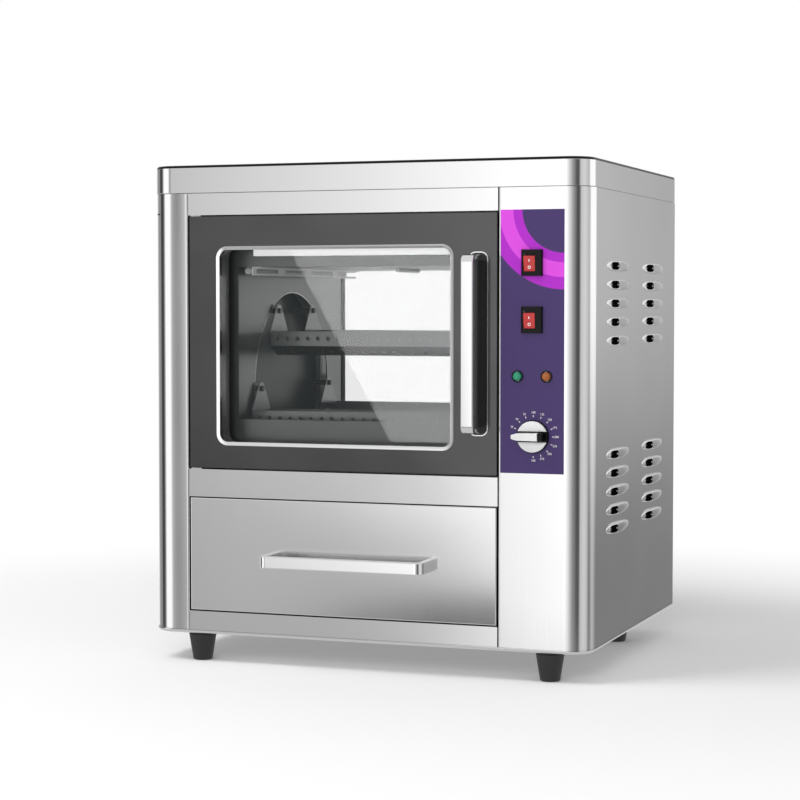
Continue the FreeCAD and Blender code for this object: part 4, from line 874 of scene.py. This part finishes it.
dress(panel_film(), "control_decal")


# Rocker switches: two red caps, tilted in black housings with dark wells round them, and marked
# with a bar for on and a ring for off. The plastics of the other controls are here as well.
ROCKER_LEVELS = {"upper": 560.0, "lower": 484.4}
ROCKER_WIDE = 16
ROCKER_HALF = 10.4
ROCKER_TILT = math.radians(9)
ROCKER_PIVOT = 5
ROCKER_ROUND = 1.5
ROCKER_SECTION = ((8, -7), (0.3, -7), (0, 2), (0, 8.6), (0.3, 9.2), (1.2, 9.6), (3, 9.4), (7.9, 9.2))
SADDLE = 0.9
SADDLE_LEVEL = 0.6
WELL_HALF = (10.5, 14)
WELL_BACK, WELL_FRONT = -0.6, -1.0
ON_BAR = ((-0.55, 2.6), (0.55, 6.2))
OFF_CENTRE = (0, -4.6)
OFF_RADII = (2.1, 1.3)
MARK_BACK, MARK_FRONT = -9.2, -9.75
housing_mid = np.mean([side[0] for side in span("switch_housings")])
switch_plastic = coated("switch_plastic_black", (0.003, 0.003, 0.003), 0.12, speckle=900.0, bump=0.000002,
                        shine=0.15)
rocker_red = coated("rocker_red", (0.50, 0.035, 0.035), 0.30, speckle=900.0, coat=0.3)
wells = []
for level in ROCKER_LEVELS.values():
    middle = np.array((housing_mid, level))
    outline = rounded(middle - WELL_HALF, middle + WELL_HALF, (1,) * 4, 0, 2)
    wells.append(plate_of(outline, WELL_BACK, WELL_FRONT, (0, 2, 1)))
piece("switch_wells", mesh_of("switch_wells", *wells), "root", "switch_black", switch_plastic)
print_white = coated("print_white", (0.85, 0.85, 0.85), 0.4)
knob_white = coated("knob_white", (0.72, 0.72, 0.72), 0.32, speckle=900.0, coat=0.1)
dress(switch_plastic, "switch_housings", "lamp_bezels")


def boss(outline, back, front, ease=1.2, dome=0.0):
    """A raised shape: an outline in (x, z) drawn towards its middle as its edge rounds over.

    A dome adds dome (1 - share^2) at a share of the way from the middle to the outline.
    """
    ring = np.array(outline, float)
    centre = ring.mean(axis=0)
    reach = np.abs(ring - centre).max()
    rows = [(0, back), (1, back)]
    rows += [(1 - (1 - c) * ease / reach, front + ease * (1 - s)) for c, s in arc((0, 0), 1, 0, 90, 4)]
    rows += [(share, front - dome * (1 - share ** 2)) for share in (0.6, 0.3, 0)]
    points = [np.column_stack([centre + (ring - centre) * share, np.full(len(ring), y)])[:, (0, 2, 1)]
              for share, y in rows]
    return grid(np.array(points), False, True)


def tilted(rows, place):
    """Rings of points about a rocker's pivot, tilted as the switch rests and set in their place."""
    level_rows = np.array(rows)
    tilted_rows = level_rows.copy()
    c, s = math.cos(ROCKER_TILT), math.sin(ROCKER_TILT)
    tilted_rows[..., 1] = level_rows[..., 1] * c - level_rows[..., 2] * s
    tilted_rows[..., 2] = level_rows[..., 1] * s + level_rows[..., 2] * c
    return tilted_rows + place


on_bar = rounded(*ON_BAR, (0.3,) * 4, 0, 2)
off_rings = [arc(OFF_CENTRE, radius, 0, 345, 23) for radius in OFF_RADII]
for label, level in ROCKER_LEVELS.items():
    low, high = span("rocker_" + label)
    place = ((low[0] + high[0]) / 2, ROCKER_PIVOT, level)
    rows = []
    for inset, front in ROCKER_SECTION:
        ring = rounded((-ROCKER_WIDE / 2, -ROCKER_HALF), (ROCKER_WIDE / 2, ROCKER_HALF),
                       (ROCKER_ROUND,) * 4, inset, 5)
        saddle = SADDLE * (np.abs(ring[:, 1]) / ROCKER_HALF - SADDLE_LEVEL) * (front > ROCKER_PIVOT)
        rows.append(np.column_stack([ring[:, 0], -(front + saddle), ring[:, 1]]))
    piece("rocker_" + label + "_cap", mesh_of("rocker_cap", grid(tilted(rows, place), False, True)),
          "rocker_" + label, "switch_red", rocker_red, "rocker_" + label)
    marks = []
    for outline, centre in ((on_bar, on_bar * 0 + on_bar.mean(axis=0)), off_rings):
        rows = [np.column_stack([ring[:, 0], np.full(len(ring), height), ring[:, 1]])
                for ring, height in ((outline, MARK_BACK), (outline, MARK_FRONT), (centre, MARK_FRONT),
                                     (centre, MARK_BACK))]
        marks.append(grid(tilted(rows, place), True, True))
    piece("rocker_" + label + "_marks", mesh_of("rocker_marks", *marks), "rocker_" + label, "switch_red",
          print_white)


# Indicator lamps: a green and an amber lens, each a short round rod that ends in a dome in front
# of its bezel.
LENS = 6
LENS_LONG = 24
for name, slot, colour in (("power_lamp", "green_lens", (0.015, 0.28, 0.15)),
                           ("heating_lamp", "amber_lens", (0.36, 0.10, 0.015))):
    low, high = span(name)
    centre = ((low[0] + high[0]) / 2, 0, (low[2] + high[2]) / 2)
    lens = coated(name + "_lens", colour, 0.12, speckle=300.0, bump=0.00001, coat=0.5)
    profile = [(0, low[1] + LENS_LONG), (LENS, low[1] + LENS_LONG), (LENS, low[1] + LENS),
               *((LENS * math.sin(a), low[1] + LENS - LENS * math.cos(a))
                 for a in np.radians(np.linspace(85, 5, 12))), (0, low[1])]
    piece(name + "_dome", mesh_of(name + "_dome", turned(profile, centre, 1)), "root", slot, lens, name)


# Thermostat knob: two white segments on a round black base, with a channel between them, and a
# raised white grip whose long end points at the dial and whose short end is black.
KNOB_RADIUS = 22
KNOB_REACH = 26
KNOB_BACK, KNOB_FACE = -1.6, -8.5
BASE_SLOPE = (0.6, 2)
BASE_TOP = (20, -5.5)
CHANNEL = 7.2
SEGMENT_RADIUS = KNOB_RADIUS - 1.2
SEGMENT_BACK, SEGMENT_DOME = -3, 0.9
SHAFT = 3
SHAFT_SPAN = (-2.4, 13)
GRIP_BACK, GRIP_FACE, GRIP_END_FACE = -5, -18.9, -18.6
GRIP_END = ((10.6, -5.2), (16.9, 5.2))
GRIP = [(-KNOB_REACH, -2.6), (-KNOB_REACH, 2.6), (-18, 4.9), (10.2, 5.2), (10.2, -5.2), (-18, -4.9)]
low, high = span("thermostat_knob")
knob_x, knob_z = low[0] + KNOB_REACH, (low[2] + high[2]) / 2
axle = (knob_x, 0, knob_z)
base_profile = [(0, KNOB_BACK), (KNOB_RADIUS, KNOB_BACK),
                (KNOB_RADIUS - BASE_SLOPE[0], KNOB_BACK - BASE_SLOPE[1]), BASE_TOP, (0, BASE_TOP[1])]
shaft_profile = [(0, SHAFT_SPAN[0]), (SHAFT, SHAFT_SPAN[0]), (SHAFT, SHAFT_SPAN[1]), (0, SHAFT_SPAN[1])]
grip_end = rounded(*(np.array(GRIP_END) + (knob_x, knob_z)), (0.8,) * 4, 0, 3)
black_parts = [turned(base_profile, axle, 1, 64), boss(grip_end, GRIP_BACK, GRIP_END_FACE, 0.8),
               turned(shaft_profile, axle, 1, 24)]
white_parts = []
for side in (1, -1):
    reach = math.degrees(math.asin(CHANNEL / SEGMENT_RADIUS))
    cap = arc((knob_x, knob_z), SEGMENT_RADIUS, reach, 180 - reach, 28)
    chord = np.stack([np.linspace(cap[-1][0], cap[0][0], 14)[1:-1], np.full(12, cap[0][1])], axis=-1)
    outline = np.vstack([cap, chord])
    outline[:, 1] = knob_z + side * (outline[:, 1] - knob_z)
    white_parts.append(boss(outline, SEGMENT_BACK, KNOB_FACE, 1.0, SEGMENT_DOME))
white_parts.append(boss(np.array(GRIP) + (knob_x, knob_z), GRIP_BACK, GRIP_FACE, 1.0))
piece("knob_core", mesh_of("knob_core", *black_parts), "knob", "knob_plastic", switch_plastic,
      "thermostat_knob")
piece("knob_caps", mesh_of("knob_caps", *white_parts), "knob", "knob_plastic", knob_white)


# Dial: thirteen ticks printed round the knob, a sixteenth of a turn apart from its left side, with
# plain numbers outside all but the first.
FILM = -0.5
PRINT = 0.12
TICKS = 13
TICK_TURN = 22.5
TICK_START = 180
TICK_REACH = (26, 28.4)
TICK_HALF = 0.45
NUMBER_STEP = 25
NUMBER_RADIUS = 32
NUMBER_SIZE = 4.0
print_parts = []
for i in range(TICKS):
    turn = math.radians(TICK_START - TICK_TURN * i)
    way = np.array([math.cos(turn), math.sin(turn)])
    side = np.array([-way[1], way[0]]) * TICK_HALF
    near, far = way * TICK_REACH[0], way * TICK_REACH[1]
    corners = np.array([near + side, far + side, far - side, near - side]) + (knob_x, knob_z)
    print_parts.append(plate_of(corners, FILM, FILM - PRINT, (0, 2, 1)))
piece("dial_ticks", mesh_of("dial_ticks", *print_parts), "root", "panel_film", print_white)
for i in range(1, TICKS):
    turn = math.radians(TICK_START - TICK_TURN * i)
    letters = bpy.data.curves.new("dial_number", "FONT")
    letters.body = str(NUMBER_STEP * i)
    letters.size = NUMBER_SIZE
    letters.align_x = "CENTER"
    letters.align_y = "CENTER"
    letters.extrude = PRINT / 2
    source = bpy.data.objects.new("dial_source", letters)
    bpy.context.scene.collection.objects.link(source)
    bpy.context.view_layer.update()
    mesh = bpy.data.meshes.new_from_object(source)
    bpy.data.objects.remove(source)
    places = np.empty(len(mesh.vertices) * 3)
    mesh.vertices.foreach_get("co", places)
    x, y, z = places.reshape(-1, 3).T
    middle = (knob_x + NUMBER_RADIUS * math.cos(turn), FILM - PRINT / 2,
              knob_z + NUMBER_RADIUS * math.sin(turn))
    mesh.vertices.foreach_set("co", (np.column_stack([x, -z, y]) + middle).ravel())
    piece("dial_number_%d" % i, mesh, "root", "panel_film", print_white, closed=False)


# Inner fittings: lamp strip over the window, quartz heaters, floor element, motor and its bracket,
# brass bushes, hinge pins, catch, runners, terminal block, screws and the rubber cable bush. A
# bright bead rims the round opening in the cavity's left wall, where the wheel turns.
OPENING_RADIUS = 140
BEAD = 1.1
BEAD_PROUD = 0.6


def strip_glow():
    """A lit white diffuser behind the window's upper edge."""
    material, graph = finish("lamp_diffuser_white")
    place = graph.node("TexCoord", None, None, "Object")
    ripple = graph.node("TexNoise", None, {"Vector": place, "Scale": 60.0})
    graph.node("OutputMaterial", None, {0: graph.node("BsdfPrincipled", None, {
        "Base Color": ripple.ramp((0.0, 0.8), (1.0, 0.9)), "Roughness": 0.4, "Emission Color": (1, 1, 1, 1),
        "Emission Strength": 0.6})})
    return material


low, high = span("cavity_left_wall")
wheel_low, wheel_high = span("wheel_left")
opening = (0, (wheel_low[1] + wheel_high[1]) / 2, (wheel_low[2] + wheel_high[2]) / 2)
bead = [(OPENING_RADIUS - a, high[0] - BEAD_PROUD + b) for a, b in arc((0, 0), BEAD, 0, 330, 11)]
bead_grid = turned(bead + bead[:1], opening, 0, 96)
piece("wheel_opening_bead", mesh_of("wheel_opening_bead", bead_grid), "root", "inner_steel", bright_bar)
dress(strip_glow(), "interior_lamp")
dress(coated("quartz_white", (0.7, 0.7, 0.68), 0.25, speckle=200.0, bump=0.00001, coat=0.3), "quartz_tubes")
dress(coated("element_sheath", (0.16, 0.15, 0.14), 0.4, speckle=500.0, bump=0.00002, metallic=0.9),
      "lower_heating_element")
dress(coated("bright_guard", (0.9, 0.9, 0.9), 0.3, bump=0.00001), "heater_guards", "sensor_bulb")
dress(coated("motor_grey", (0.10, 0.10, 0.11), 0.45, speckle=500.0, bump=0.00002, metallic=0.7), "gear_motor")
dress(coated("bush_brass", (0.55, 0.38, 0.14), 0.3, speckle=500.0, bump=0.00001, metallic=1.0),
      "wheel_bushes")
dress(steel("zinc_plate", (0.62, 0.64, 0.66), 0.34), "motor_bracket", "hinge_brackets", "door_catch",
      "drawer_runners", "rear_panel_screws")
dress(coated("terminal_ivory", (0.55, 0.52, 0.42), 0.5), "terminal_block", "thermostat_body")
dress(rubber, "cable_bush")
